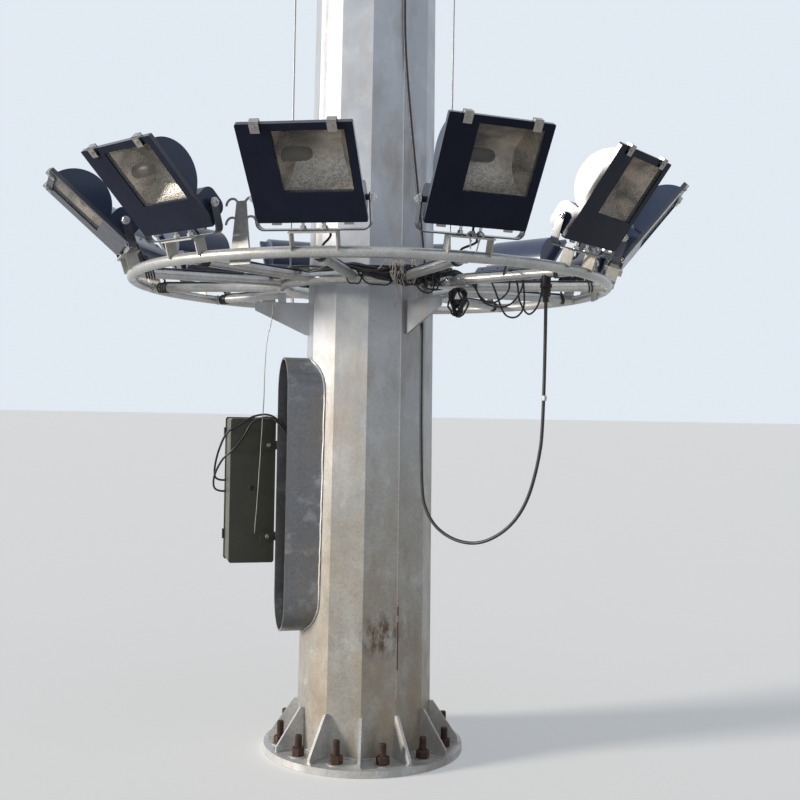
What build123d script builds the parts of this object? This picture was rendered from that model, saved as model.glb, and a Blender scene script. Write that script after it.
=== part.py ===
from build123d import *
import math
import os

# High mast lighting tower: a tapered twelve-sided steel shaft on a bolted base,
# a ring carriage lowered to its landing brackets, twelve tilting floodlights,
# a door neck with a control cabinet, and the hoisting winch and head pulleys.
# Millimetres, +Z up, origin at the centre of the underside of the base flange.
# Angles are turned about +Z from -Y; a piece is drawn at 0 degrees, where
# outward is -Y and sideways is +X, and then turned to its own place.

# Shaft
SIDES = 12
BASE_RADIUS = 300.0          # axis to corner at the ground
TAPER_RATIO = 0.009          # loss of corner radius per unit of height
DOOR_WALL = 8.0
LOWER_WALL = 8.0
UPPER_WALL = 6.0
DOOR_SECTION_TOP = 2200.0
SLIP_START = 10000.0
SLIP_LAP = 600.0
SLIP_CLEARANCE = 0.4
SHAFT_TOP = 20000.0

# Base
FLANGE_RADIUS = 445.0
FLANGE_THICKNESS = 30.0
CABLE_ENTRY_RADIUS = 50.0
CABLE_ENTRY_OFFSET = 110.0
ANCHOR_CIRCLE_RADIUS = 375.0
ANCHOR_HOLE_DIAMETER = 36.0
ANCHOR_COUNT = 12
GUSSET_THICKNESS = 12.0
GUSSET_HEIGHT = 180.0
GUSSET_FOOT_RADIUS = 425.0
GUSSET_TOE_HEIGHT = 20.0
GUSSET_TOP_WIDTH = 15.0
ROOT_DEPTH = 60.0            # how far a welded plate is drawn into the shaft, then trimmed

# Door neck and cabinet
DOOR_AZIMUTH = -75.0
NECK_HALF_WIDTH = 150.0
NECK_WALL = 8.0
NECK_BOTTOM = 530.0
NECK_BELOW_RING = 330.0
NECK_REACH = 393.0
CABINET_GAP = 5.0
CABINET_WIDTH = 205.0
CABINET_DEPTH = 190.0
CABINET_BOTTOM = 810.0
CABINET_HEIGHT = 655.0
CABINET_CORNER = 12.0
CABINET_DOOR_THICKNESS = 16.0
CABINET_RAIN_LIP = 10.0
STRAP_THICKNESS = 6.0
STRAP_HEIGHT = 40.0
STRAP_OVERLAP = 62.0
STRAP_INNER_RADIUS = 335.0
STRAP_INSET = 120.0

# Winch inside the shaft
BEAM_HEIGHT_POSITION = 640.0
BEAM_WIDTH = 120.0
BEAM_THICKNESS = 40.0
DRUM_LENGTH = 150.0
DRUM_CORE_RADIUS = 60.0
DRUM_FLANGE_RADIUS = 110.0
DRUM_FLANGE_THICKNESS = 8.0
DRUM_SHAFT_RADIUS = 17.5
WINCH_PLATE_THICKNESS = 10.0
WINCH_PLATE_CLEARANCE = 0.3
WINCH_AXLE_RISE = 170.0
GEARBOX_LENGTH = 90.0
GEARBOX_SIZE = 130.0
WINCH_ROPE_RADIUS = 5.0

# Landing brackets
LANDING_AZIMUTHS = (-84.0, 36.0, 156.0)
LANDING_PLATE = 12.0
LANDING_REACH = 520.0
LANDING_DROP = 80.0
LANDING_DEPTH = 145.0
LANDING_FOOT = 10.0
LANDING_TIP_HEIGHT = 38.0
LANDING_PAD = 36.0
LANDING_CLEARANCE = 6.0

# Ring carriage
RING_HEIGHT = 2070.0
OUTER_RING_RADIUS = 1055.0
OUTER_TUBE_RADIUS = 21.2
INNER_RING_RADIUS = 400.0
INNER_TUBE_RADIUS = 26.0
SPOKE_TUBE_RADIUS = 20.0
WELD_GAP = 0.3
LAMP_COUNT = 12
LAMP_FIRST_AZIMUTH = -9.0
MOUNT_LEAN = 18.0

# Platforms and stirrups
PLATFORM_WIDTH = 175.0
PLATFORM_RISE = 55.0
PLATFORM_DEPTH = 80.0
PLATFORM_LEG_DEPTH = 50.0
PLATFORM_FOOT = 8.0
PLATFORM_PLATE = 5.0
STIRRUP_INSIDE = 205.0
STIRRUP_PLATE = 5.0
STIRRUP_BAR_WIDTH = 34.0
STIRRUP_BEND = 25.0
STIRRUP_END = 18.0
STIRRUP_END_FLAT = 4.0
PIVOT_HEIGHT = 190.0
PIN_RADIUS = 5.0
PIN_CLEARANCE = 0.2
PIN_HEAD_RADIUS = 12.0
PIN_HEAD_LENGTH = 6.0
SIDE_PLAY = 0.3

# Floodlight, drawn facing -Y with its pivot at the origin
FACE_TILTS = (47.0, 33.0, 37.0, 39.0, 42.0, 44.0, 41.0, 43.0, 40.0, 45.0, 49.0, 48.0)
FRAME_WIDTH = 400.0
FRAME_HEIGHT = 400.0
FRAME_DROP = 65.0
FRAME_FRONT = 58.0
FRAME_DEPTH = 16.0
FRAME_CORNER = 7.0
WINDOW_WIDTH = 252.0
WINDOW_HEIGHT = 244.0
WINDOW_OFFSET = 42.0
WINDOW_BOTTOM = 63.0
GLASS_THICKNESS = 5.0
GLASS_LAP = 5.0
GLASS_SETBACK = 3.0
GLASS_PLAY = 0.3
DOME_RADIUS = 138.0
DOME_CENTRE_AHEAD = 20.0
DOME_CENTRE_HEIGHT = 180.0
DOME_HALF_WIDTH = 172.0
DOME_WALL = 4.0
GEAR_HALF_WIDTH = 188.0
GEAR_BOTTOM = 60.0
GEAR_TOP = 55.0
GEAR_DEPTH = 105.0
GEAR_CORNER = 36.0
BOSS_RADIUS = 11.0
CLIP_OFFSET = 131.0
CLIP_WIDTH = 30.0
CLIP_HEIGHT = 8.0
BULB_RADIUS = 22.0
BULB_LENGTH = 120.0
BULB_ROOM = 22.0
SOCKET_RADIUS = 15.0
SOCKET_LENGTH = 60.0

# Hook posts, rope terminals, wiring
POST_AZIMUTHS = (-26.0, 94.0, 214.0)
POST_THICKNESS = 10.0
POST_FOOT_WIDTH = 90.0
POST_TOP_WIDTH = 38.0
POST_BELOW = 35.0
POST_ABOVE = 200.0
HOOK_ROD_RADIUS = 4.5
HOOK_CURL_RADIUS = 26.0
HOOK_TOP_INSET = 15.0
HOOK_SPACING = 70.0
HOOK_ROOT = 4.0
ROPE_AZIMUTHS = (-60.0, 60.0, 180.0)
ROPE_RADIUS = 4.0
TERMINAL_RISE = 60.0
TERMINAL_LUG = 10.0
TERMINAL_WIDTH = 36.0
SOCKET_OUTER = 12.0
JUNCTION_AZIMUTH = 51.0
JUNCTION_INSET = 130.0
JUNCTION_RADIUS = 19.0
JUNCTION_LENGTH = 85.0
JUNCTION_LID_RADIUS = 24.0
JUNCTION_LID_HEIGHT = 14.0
GLAND_RADIUS = 12.0
GLAND_LENGTH = 22.0
CABLE_RADIUS = 7.0
TIE_AZIMUTH = 41.0
TIE_RADIUS = 350.0
TIE_LENGTH = 30.0
TIE_WALL = 7.0
RUN_STRAIGHT = 130.0
RUN_DRAW = 1000.0
HARNESS_RADIUS = 470.0
HARNESS_TUBE = 8.0

# Head frame
HEAD_PLATE_RADIUS = 200.0
HEAD_PLATE_THICKNESS = 15.0
HEAD_BORE_RADIUS = 100.0
PULLEY_OFFSET = 240.0
PULLEY_HEIGHT = 200.0
PULLEY_RIM = 12.0
PULLEY_THICKNESS = 30.0
PULLEY_BORE = 15.0
CABLE_PULLEY_AZIMUTH = 29.0
CABLE_PULLEY_OFFSET = 195.0
CABLE_PULLEY_GROOVE = 90.0
CABLE_PULLEY_RIM = 10.0
CABLE_PULLEY_THICKNESS = 34.0
CHEEK_PLATE = 8.0
CHEEK_CLEARANCE = 2.0
CHEEK_INNER = 70.0
CABLE_CHEEK_INNER = 135.0
CHEEK_RIM_CLEARANCE = 10.0
CHEEK_FOOT_INSET = 12.0
CHEEK_NOSE = 40.0
CHEEK_NOSE_DROP = 30.0
PULLEY_PIN_OVERHANG = 6.0
TIE_PLATE_RADIUS = 260.0
TIE_PLATE_THICKNESS = 8.0
HOOD_RADIUS = 450.0
HOOD_SKIRT = 40.0
HOOD_SHEET = 4.0
HOOD_DROP = 150.0
HOOD_BOSS_RADIUS = 60.0
HOOD_BOSS_HEIGHT = 90.0
ROD_RADIUS = 8.0
ROD_LENGTH = 1000.0
ROD_FOOT_RADIUS = 30.0
ROD_FOOT_HEIGHT = 25.0
SPREADER_DROP = 500.0
SPREADER_RADIUS = 92.0
SPREADER_THICKNESS = 16.0

os.makedirs("parts", exist_ok=True)

FACET = math.cos(math.pi / SIDES)
OUT = Plane.XZ


def save(name, *solids):
    """Write one node: one solid, or several that stay apart."""
    flat = []
    for shape in solids:
        flat.extend(shape.solids())
    body = flat[0] if len(flat) == 1 else Compound(children=flat)
    body.label = name
    export_step(body, "parts/" + name + ".step")


def turned(shape, angle):
    """Turn a piece from the front to its angle about the mast."""
    return Rot(0, 0, angle) * shape


def around(shape, angles):
    """Copies of one piece at several angles."""
    return [turned(shape, angle) for angle in angles]


def polar(radius, angle, height):
    """A point at a radius and angle from the front."""
    a = math.radians(angle)
    return (radius * math.sin(a), -radius * math.cos(a), height)


def corner_radius(z):
    return BASE_RADIUS - TAPER_RATIO * z


def shaft_solid(z0, z1, grow):
    """The tapered shaft filled in, with its facets moved out by grow."""
    low = Pos(0, 0, z0) * RegularPolygon(corner_radius(z0) + grow / FACET, SIDES)
    high = Pos(0, 0, z1) * RegularPolygon(corner_radius(z1) + grow / FACET, SIDES)
    return loft([low, high], ruled=True)


def block(x0, x1, y0, y1, z0, z1):
    """A box between two corners."""
    size = Box(x1 - x0, y1 - y0, z1 - z0)
    return Pos((x0 + x1) / 2, (y0 + y1) / 2, (z0 + z1) / 2) * size


def rod_z(radius, x, y, z0, z1):
    """An upright round bar."""
    return Pos(x, y, (z0 + z1) / 2) * Cylinder(radius, z1 - z0)


def rod_x(radius, x0, x1, y, z):
    """A round bar lying sideways."""
    return Pos((x0 + x1) / 2, y, z) * Rot(0, 90, 0) * Cylinder(radius, x1 - x0)


def side_plate(points, x0, x1):
    """A plate from an outline of radius and height, between two sides."""
    face = make_face(Polyline(*[(-r, z) for r, z in points], close=True))
    plane = Plane(origin=(x0, 0, 0), x_dir=(0, 1, 0), z_dir=(1, 0, 0))
    return extrude(plane * face, amount=x1 - x0)


# Filled shaft used to trim whatever is welded to it
trim_shaft = shaft_solid(0, 2 * RING_HEIGHT, 0)

# Shaft sections: the door section and the lower length butt together, and
# the upper length is slipped down over the lower one
shaft_foot = FLANGE_THICKNESS
door_outer = shaft_solid(shaft_foot, DOOR_SECTION_TOP, 0)
door_inner = shaft_solid(shaft_foot - 1, DOOR_SECTION_TOP + 1, -DOOR_WALL)
neck_top = RING_HEIGHT - NECK_BELOW_RING
neck_height = neck_top - NECK_BOTTOM
neck_middle = (neck_top + NECK_BOTTOM) / 2
neck_outline = Pos(0, neck_middle) * SlotOverall(neck_height, 2 * NECK_HALF_WIDTH, 90)
opening_outline = Pos(0, neck_middle) * SlotOverall(
    neck_height - 2 * NECK_WALL, 2 * (NECK_HALF_WIDTH - NECK_WALL), 90
)
door_cut = turned(extrude(OUT * opening_outline, amount=2 * NECK_REACH), DOOR_AZIMUTH)
save("shaft_door_section", door_outer - door_inner - door_cut)

lower_outer = shaft_solid(DOOR_SECTION_TOP, SLIP_START + SLIP_LAP, 0)
lower_inner = shaft_solid(
    DOOR_SECTION_TOP - 1, SLIP_START + SLIP_LAP + 1, -LOWER_WALL
)
save("shaft_lower", lower_outer - lower_inner)

upper_outer = shaft_solid(SLIP_START, SHAFT_TOP, SLIP_CLEARANCE + UPPER_WALL)
upper_inner = shaft_solid(SLIP_START - 1, SHAFT_TOP + 1, SLIP_CLEARANCE)
save("shaft_upper", upper_outer - upper_inner)

# Base flange with its open anchor holes, and the gussets on the corners
flange = Pos(0, 0, FLANGE_THICKNESS / 2) * Cylinder(FLANGE_RADIUS, FLANGE_THICKNESS)
for side in (-1, 1):
    entry = rod_z(
        CABLE_ENTRY_RADIUS, side * CABLE_ENTRY_OFFSET, 0, -1, FLANGE_THICKNESS + 1
    )
    flange -= turned(entry, DOOR_AZIMUTH)
anchor_step = 360.0 / ANCHOR_COUNT
anchor_hole = Cylinder(ANCHOR_HOLE_DIAMETER / 2, 4 * FLANGE_THICKNESS)
for k in range(ANCHOR_COUNT):
    x, y, z = polar(ANCHOR_CIRCLE_RADIUS, anchor_step * (k + 0.5), 0)
    flange -= Pos(x, y, z) * anchor_hole
save("base_flange", flange)

gusset_top = FLANGE_THICKNESS + GUSSET_HEIGHT
gusset_root = corner_radius(gusset_top)
gusset = side_plate(
    [
        (gusset_root - ROOT_DEPTH, FLANGE_THICKNESS),
        (GUSSET_FOOT_RADIUS, FLANGE_THICKNESS),
        (GUSSET_FOOT_RADIUS, FLANGE_THICKNESS + GUSSET_TOE_HEIGHT),
        (gusset_root + GUSSET_TOP_WIDTH, gusset_top),
        (gusset_root - ROOT_DEPTH, gusset_top),
    ],
    -GUSSET_THICKNESS / 2,
    GUSSET_THICKNESS / 2,
)
gusset -= trim_shaft
save("base_gussets", *around(gusset, [360.0 / SIDES * k for k in range(SIDES)]))

# Door neck: a racetrack tube standing out from the shaft, its leaf gone
neck = extrude(OUT * neck_outline, amount=NECK_REACH)
neck -= extrude(OUT * opening_outline, amount=NECK_REACH + 1)
neck = turned(neck, DOOR_AZIMUTH) - trim_shaft
neck_solid = sorted(neck.solids(), key=lambda s: s.volume)[-1]
save("door_neck", neck_solid)

# Control cabinet behind the far side of the neck, on two flat straps
strap_face = -NECK_HALF_WIDTH - STRAP_THICKNESS
cabinet_y0 = -(NECK_REACH + CABINET_GAP + CABINET_WIDTH)
cabinet_y1 = -(NECK_REACH + CABINET_GAP)
cabinet_x0 = strap_face - CABINET_DEPTH
cabinet = block(
    cabinet_x0,
    strap_face,
    cabinet_y0,
    cabinet_y1,
    CABINET_BOTTOM,
    CABINET_BOTTOM + CABINET_HEIGHT,
)
cabinet = fillet(cabinet.edges().filter_by(Axis.X), CABINET_CORNER)
leaf = block(
    cabinet_x0 - CABINET_DOOR_THICKNESS,
    cabinet_x0,
    cabinet_y0 - CABINET_RAIN_LIP / 2,
    cabinet_y1 + CABINET_RAIN_LIP / 2,
    CABINET_BOTTOM - CABINET_RAIN_LIP / 2,
    CABINET_BOTTOM + CABINET_HEIGHT + CABINET_RAIN_LIP / 2,
)
leaf = fillet(leaf.edges().filter_by(Axis.X), CABINET_CORNER)
save("control_cabinet", turned(cabinet + leaf, DOOR_AZIMUTH))

straps = []
for z in (CABINET_BOTTOM + STRAP_INSET, CABINET_BOTTOM + CABINET_HEIGHT - STRAP_INSET):
    strap = block(
        strap_face,
        -NECK_HALF_WIDTH,
        cabinet_y1 - STRAP_OVERLAP,
        -STRAP_INNER_RADIUS,
        z - STRAP_HEIGHT / 2,
        z + STRAP_HEIGHT / 2,
    )
    straps.append(turned(strap, DOOR_AZIMUTH))
save("cabinet_brackets", *straps)

# Winch inside the shaft behind the opening: a beam across the shaft carries
# two side plates, the rope drum between them and the gearbox outside one
beam_top = BEAM_HEIGHT_POSITION + BEAM_THICKNESS
shaft_bore = shaft_solid(shaft_foot, DOOR_SECTION_TOP, -DOOR_WALL)
beam = block(
    -BASE_RADIUS, BASE_RADIUS, -BEAM_WIDTH / 2, BEAM_WIDTH / 2, BEAM_HEIGHT_POSITION, beam_top
)
drum_y = DRUM_CORE_RADIUS + WINCH_ROPE_RADIUS
axle_z = beam_top + WINCH_AXLE_RISE
plate_x = DRUM_LENGTH / 2 + WINCH_PLATE_CLEARANCE
plate_reach = DRUM_CORE_RADIUS
winch_plate = block(
    plate_x,
    plate_x + WINCH_PLATE_THICKNESS,
    drum_y - plate_reach,
    drum_y + plate_reach,
    beam_top - BEAM_THICKNESS,
    axle_z + plate_reach,
)
winch_frame = beam + winch_plate + winch_plate.mirror(Plane.YZ)
axle_hole = rod_x(DRUM_SHAFT_RADIUS + WELD_GAP, -BASE_RADIUS, BASE_RADIUS, drum_y, axle_z)
winch_frame = turned(winch_frame - axle_hole, DOOR_AZIMUTH) & shaft_bore
save("winch_frame", winch_frame)

drum_end = plate_x + WINCH_PLATE_THICKNESS
drum = rod_x(DRUM_CORE_RADIUS, -DRUM_LENGTH / 2, DRUM_LENGTH / 2, drum_y, axle_z)
for end in (-1, 1):
    inner = end * (DRUM_LENGTH / 2 - DRUM_FLANGE_THICKNESS)
    outer = end * DRUM_LENGTH / 2
    drum += rod_x(DRUM_FLANGE_RADIUS, min(inner, outer), max(inner, outer), drum_y, axle_z)
drum += rod_x(DRUM_SHAFT_RADIUS, -drum_end, drum_end, drum_y, axle_z)
save("winch_drum", turned(drum, DOOR_AZIMUTH))

gearbox = block(
    drum_end,
    drum_end + GEARBOX_LENGTH,
    drum_y - GEARBOX_SIZE / 2,
    drum_y + GEARBOX_SIZE / 2,
    axle_z - GEARBOX_SIZE / 2,
    axle_z + GEARBOX_SIZE / 2,
)
gearbox = fillet(gearbox.edges().filter_by(Axis.X), CABINET_CORNER)
save("winch_gearbox", turned(gearbox, DOOR_AZIMUTH))

# Landing brackets: a triangular plate and a pad under the inner ring
inner_ring_z = RING_HEIGHT + SPOKE_TUBE_RADIUS - INNER_TUBE_RADIUS
landing_top = RING_HEIGHT - LANDING_DROP
landing_root = corner_radius(landing_top)
pad_top = inner_ring_z - INNER_TUBE_RADIUS - LANDING_CLEARANCE
landing = side_plate(
    [
        (landing_root - ROOT_DEPTH, landing_top - LANDING_DEPTH),
        (landing_root + LANDING_FOOT, landing_top - LANDING_DEPTH),
        (LANDING_REACH, landing_top - LANDING_TIP_HEIGHT),
        (LANDING_REACH, landing_top),
        (landing_root - ROOT_DEPTH, landing_top),
    ],
    -LANDING_PLATE / 2,
    LANDING_PLATE / 2,
)
landing += block(
    -LANDING_PAD / 2,
    LANDING_PAD / 2,
    -INNER_RING_RADIUS - LANDING_PAD / 2,
    -INNER_RING_RADIUS + LANDING_PAD / 2,
    landing_top,
    pad_top,
)
landing_pieces = [piece - trim_shaft for piece in around(landing, LANDING_AZIMUTHS)]
save("landing_brackets", *landing_pieces)

# Ring carriage: two tube rings joined by the spokes under the floodlights
outer_ring = Pos(0, 0, RING_HEIGHT) * Torus(OUTER_RING_RADIUS, OUTER_TUBE_RADIUS)
inner_ring = Pos(0, 0, inner_ring_z) * Torus(INNER_RING_RADIUS, INNER_TUBE_RADIUS)
save("outer_ring", outer_ring)
save("inner_ring", inner_ring)
outer_room = Pos(0, 0, RING_HEIGHT) * Torus(OUTER_RING_RADIUS, OUTER_TUBE_RADIUS + WELD_GAP)
inner_room = Pos(0, 0, inner_ring_z) * Torus(INNER_RING_RADIUS, INNER_TUBE_RADIUS + WELD_GAP)

lamp_azimuths = [LAMP_FIRST_AZIMUTH + 360.0 / LAMP_COUNT * k for k in range(LAMP_COUNT)]
spoke_length = OUTER_RING_RADIUS - INNER_RING_RADIUS
spoke_middle = (OUTER_RING_RADIUS + INNER_RING_RADIUS) / 2
spoke = Pos(0, -spoke_middle, RING_HEIGHT) * Rot(90, 0, 0) * Cylinder(
    SPOKE_TUBE_RADIUS, spoke_length
)
spoke = (spoke - outer_room - inner_room).solids()[0]
save("spokes", *around(spoke, lamp_azimuths))

# Platforms saddle the outer ring and lean outward with the stirrups on them
lean = Pos(0, -OUTER_RING_RADIUS, RING_HEIGHT) * Rot(MOUNT_LEAN, 0, 0)
platform_top = OUTER_TUBE_RADIUS + PLATFORM_RISE
platform = block(
    -PLATFORM_WIDTH / 2,
    PLATFORM_WIDTH / 2,
    -PLATFORM_DEPTH / 2,
    PLATFORM_DEPTH / 2,
    platform_top - PLATFORM_PLATE,
    platform_top,
)
platform_leg = block(
    PLATFORM_WIDTH / 2 - PLATFORM_PLATE,
    PLATFORM_WIDTH / 2,
    -PLATFORM_LEG_DEPTH / 2,
    PLATFORM_LEG_DEPTH / 2,
    PLATFORM_FOOT,
    platform_top,
)
platform += platform_leg + platform_leg.mirror(Plane.YZ)
platform = lean * platform - outer_room
save("lamp_platforms", *around(platform, lamp_azimuths))

stirrup_top = PIVOT_HEIGHT + STIRRUP_END
stirrup_outside = STIRRUP_INSIDE + STIRRUP_PLATE


def cradle(half_width, bottom, radius):
    """U outline with rounded lower corners, open past the stirrup's top."""
    height = stirrup_top - bottom
    outline = Pos(0, bottom + height / 2) * Rectangle(2 * half_width, height)
    low = outline.vertices().sort_by(Axis.Y)[:2]
    return fillet(low, radius)


outer_u = cradle(stirrup_outside, platform_top, STIRRUP_BEND + STIRRUP_PLATE)
inner_u = cradle(STIRRUP_INSIDE, platform_top + STIRRUP_PLATE, STIRRUP_BEND)
stirrup = extrude(OUT * (outer_u - inner_u), amount=STIRRUP_BAR_WIDTH / 2, both=True)
arm_ends = stirrup.edges().filter_by(Axis.X).group_by(Axis.Z)[-1]
stirrup = fillet(arm_ends, STIRRUP_BAR_WIDTH / 2 - STIRRUP_END_FLAT / 2)
stirrup -= rod_x(
    PIN_RADIUS + PIN_CLEARANCE, -2 * stirrup_outside, 2 * stirrup_outside, 0, PIVOT_HEIGHT
)
stirrup = lean * stirrup
save("lamp_stirrups", *around(stirrup, lamp_azimuths))

# Hook posts on the inner side of the outer ring, with curled rods on top
post_y = -(OUTER_RING_RADIUS - OUTER_TUBE_RADIUS - WELD_GAP)
post_outline = make_face(
    Polyline(
        (-POST_FOOT_WIDTH / 2, RING_HEIGHT - POST_BELOW),
        (POST_FOOT_WIDTH / 2, RING_HEIGHT - POST_BELOW),
        (POST_TOP_WIDTH / 2, RING_HEIGHT + POST_ABOVE),
        (-POST_TOP_WIDTH / 2, RING_HEIGHT + POST_ABOVE),
        close=True,
    )
)
post = Pos(0, post_y + POST_THICKNESS, 0) * extrude(OUT * post_outline, amount=POST_THICKNESS)
rod_y = post_y + POST_THICKNESS / 2
for side in (-1, 1):
    for drop in (HOOK_TOP_INSET, HOOK_TOP_INSET + HOOK_SPACING):
        z = RING_HEIGHT + POST_ABOVE - drop
        centre = side * (POST_TOP_WIDTH / 2 + HOOK_CURL_RADIUS - HOOK_ROOT)
        path = ThreePointArc(
            (centre - side * HOOK_CURL_RADIUS, z),
            (centre, z + HOOK_CURL_RADIUS),
            (centre + side * HOOK_CURL_RADIUS, z),
        )
        curl = OUT * path
        start = Plane(origin=curl @ 0, z_dir=curl % 0)
        post += Pos(0, rod_y, 0) * sweep(start * Circle(HOOK_ROD_RADIUS), path=curl)
post -= outer_room
save("hook_posts", *around(post, POST_AZIMUTHS))

# Rope terminals standing on the inner ring
terminal_top = RING_HEIGHT + TERMINAL_RISE
terminal = block(
    -TERMINAL_WIDTH / 2,
    TERMINAL_WIDTH / 2,
    -INNER_RING_RADIUS - TERMINAL_LUG / 2,
    -INNER_RING_RADIUS + TERMINAL_LUG / 2,
    RING_HEIGHT,
    terminal_top - TERMINAL_RISE / 3,
)
terminal += rod_z(SOCKET_OUTER, 0, -INNER_RING_RADIUS, RING_HEIGHT + TERMINAL_RISE / 2, terminal_top)
terminal -= inner_room
save("rope_terminals", *around(terminal, ROPE_AZIMUTHS))

# Round junction box under one spoke, with the gland that the supply cable enters
junction_r = OUTER_RING_RADIUS - JUNCTION_INSET
junction_top = RING_HEIGHT - SPOKE_TUBE_RADIUS / 2
junction_bottom = junction_top - JUNCTION_LENGTH
lid_z = (junction_top + junction_bottom) / 2
junction = rod_z(JUNCTION_RADIUS, 0, -junction_r, junction_bottom, junction_top)
junction += rod_z(
    JUNCTION_LID_RADIUS,
    0,
    -junction_r,
    lid_z - JUNCTION_LID_HEIGHT / 2,
    lid_z + JUNCTION_LID_HEIGHT / 2,
)
gland_bottom = junction_bottom - GLAND_LENGTH
junction += rod_z(GLAND_RADIUS, 0, -junction_r, gland_bottom, junction_bottom)
spoke_room = Pos(0, -junction_r, RING_HEIGHT) * Rot(90, 0, 0) * Cylinder(
    SPOKE_TUBE_RADIUS + WELD_GAP, 4 * JUNCTION_RADIUS
)
junction = sorted((junction - spoke_room).solids(), key=lambda s: s.volume)[-1]
save("junction_box", turned(junction, JUNCTION_AZIMUTH))

# Cable clamp on the inner ring, where the supply cable is tied off
tie_middle = RING_HEIGHT - TIE_LENGTH / 2
tie_bottom = tie_middle - TIE_LENGTH / 2
clamp = rod_z(CABLE_RADIUS + TIE_WALL, 0, -TIE_RADIUS, tie_bottom, RING_HEIGHT)
clamp += block(
    -CABLE_RADIUS,
    CABLE_RADIUS,
    -INNER_RING_RADIUS,
    -TIE_RADIUS,
    tie_bottom + TIE_LENGTH / 4,
    RING_HEIGHT,
)
clamp -= rod_z(CABLE_RADIUS + WELD_GAP, 0, -TIE_RADIUS, 0, 2 * RING_HEIGHT)
clamp -= inner_room
clamp_solid = sorted(clamp.solids(), key=lambda s: s.volume)[-1]
save("cable_clamp", turned(clamp_solid, TIE_AZIMUTH))

# Supply cable: from the clamp straight down, round its hanging loop and up
# into the gland; listed as distance from the clamp to the gland, and height
tie_point = polar(TIE_RADIUS, TIE_AZIMUTH, tie_middle)
gland_point = polar(junction_r, JUNCTION_AZIMUTH, gland_bottom)
LOOP_ROUTE = (
    (0.0, 1200.0),
    (0.089, 1047.0),
    (0.277, 974.0),
    (0.509, 962.0),
    (0.732, 1032.0),
    (0.875, 1140.0),
    (0.955, 1290.0),
    (1.0, 1460.0),
)


def loop_point(share, height):
    x = tie_point[0] + share * (gland_point[0] - tie_point[0])
    y = tie_point[1] + share * (gland_point[1] - tie_point[1])
    return (x, y, height)


def route_radii(points):
    """The largest arc that each corner's two runs leave room for."""
    radii = []
    for before, corner, after in zip(points, points[1:], points[2:]):
        run_in = Vector(*corner) - Vector(*before)
        run_out = Vector(*after) - Vector(*corner)
        half = math.radians(run_in.get_angle(run_out)) / 2
        radii.append(0.45 * min(run_in.length, run_out.length) / math.tan(half))
    return radii


def tube_along(points, radius):
    """A round cable along straight runs joined by tangent arcs."""
    radii = route_radii(points)
    print("arc radii", [round(r) for r in radii])
    path = FilletPolyline(*points, radius=radii)
    start = Plane(origin=path @ 0, z_dir=path % 0)
    tube = sweep(start * Circle(radius), path=path)
    wanted = math.pi * radius ** 2 * path.length
    print("volume over section times length", round(tube.volume / wanted, 4))
    return tube


loop_points = [tie_point] + [loop_point(s, z) for s, z in LOOP_ROUTE] + [gland_point]
save("cable_loop", tube_along(loop_points, CABLE_RADIUS))

# The same cable above the clamp, up the shaft to its pulley on the head
pulley_z = SHAFT_TOP + HEAD_PLATE_THICKNESS + PULLEY_HEIGHT
cable_hang = CABLE_PULLEY_OFFSET + CABLE_PULLEY_GROOVE
run_points = [
    tie_point,
    polar(TIE_RADIUS, TIE_AZIMUTH, RING_HEIGHT + RUN_STRAIGHT),
    polar(cable_hang, CABLE_PULLEY_AZIMUTH, RING_HEIGHT + RUN_DRAW),
    polar(cable_hang, CABLE_PULLEY_AZIMUTH, pulley_z),
]
save("power_cable_run", tube_along(run_points, CABLE_RADIUS))

# Lighting harness lying on the spokes
harness_z = RING_HEIGHT + SPOKE_TUBE_RADIUS + WELD_GAP + HARNESS_TUBE
save("wiring_harness", Pos(0, 0, harness_z) * Torus(HARNESS_RADIUS, HARNESS_TUBE))

# Hoisting ropes outside the shaft, from the head pulleys to the terminals
groove_radius = INNER_RING_RADIUS - PULLEY_OFFSET
rope = rod_z(ROPE_RADIUS, 0, -INNER_RING_RADIUS, terminal_top, pulley_z)
save("hoist_ropes", *around(rope, ROPE_AZIMUTHS))

# Ropes over the pulleys and down to the spreader, then one to the drum
spreader_z = pulley_z - SPREADER_DROP
rope_inner = PULLEY_OFFSET - groove_radius
bend_centre = Pos(0, -PULLEY_OFFSET, pulley_z) * Rot(0, 90, 0)
half_bend = Torus(groove_radius, ROPE_RADIUS, major_angle=180, align=None)
bend = bend_centre * Rot(0, 0, 90) * half_bend
inner_rope = rod_z(ROPE_RADIUS, 0, -rope_inner, spreader_z, pulley_z)
spreader = rod_z(
    SPREADER_RADIUS, 0, 0, spreader_z - SPREADER_THICKNESS, spreader_z
)
main_rope = rod_z(WINCH_ROPE_RADIUS, 0, 0, axle_z, spreader_z - SPREADER_THICKNESS)
inside = spreader + main_rope
for angle in ROPE_AZIMUTHS:
    inside += turned(inner_rope, angle)
    inside += turned(bend, angle)
save("winch_rope", inside)

# Head: plate on the shaft, cheeks and pins, pulleys, tie plate, hood and rod
head_top = SHAFT_TOP + HEAD_PLATE_THICKNESS
plate = rod_z(HEAD_PLATE_RADIUS, 0, 0, SHAFT_TOP, head_top)
plate -= rod_z(HEAD_BORE_RADIUS, 0, 0, SHAFT_TOP - 1, head_top + 1)
save("head_plate", plate)

rim_radius = groove_radius + PULLEY_RIM
tie_z = pulley_z + rim_radius + CHEEK_RIM_CLEARANCE


def grooved_wheel(groove, rim, rope_radius, thickness, bore):
    """A pulley turned about X, with a round groove in its rim."""
    floor = groove - rope_radius - WELD_GAP
    outline = Polyline(
        (bore, -thickness / 2),
        (rim, -thickness / 2),
        (floor, -rope_radius),
        (floor, rope_radius),
        (rim, thickness / 2),
        (bore, thickness / 2),
        close=True,
    )
    wheel = revolve(Plane.XZ * make_face(outline), axis=Axis.Z)
    return Rot(0, 90, 0) * wheel


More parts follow.
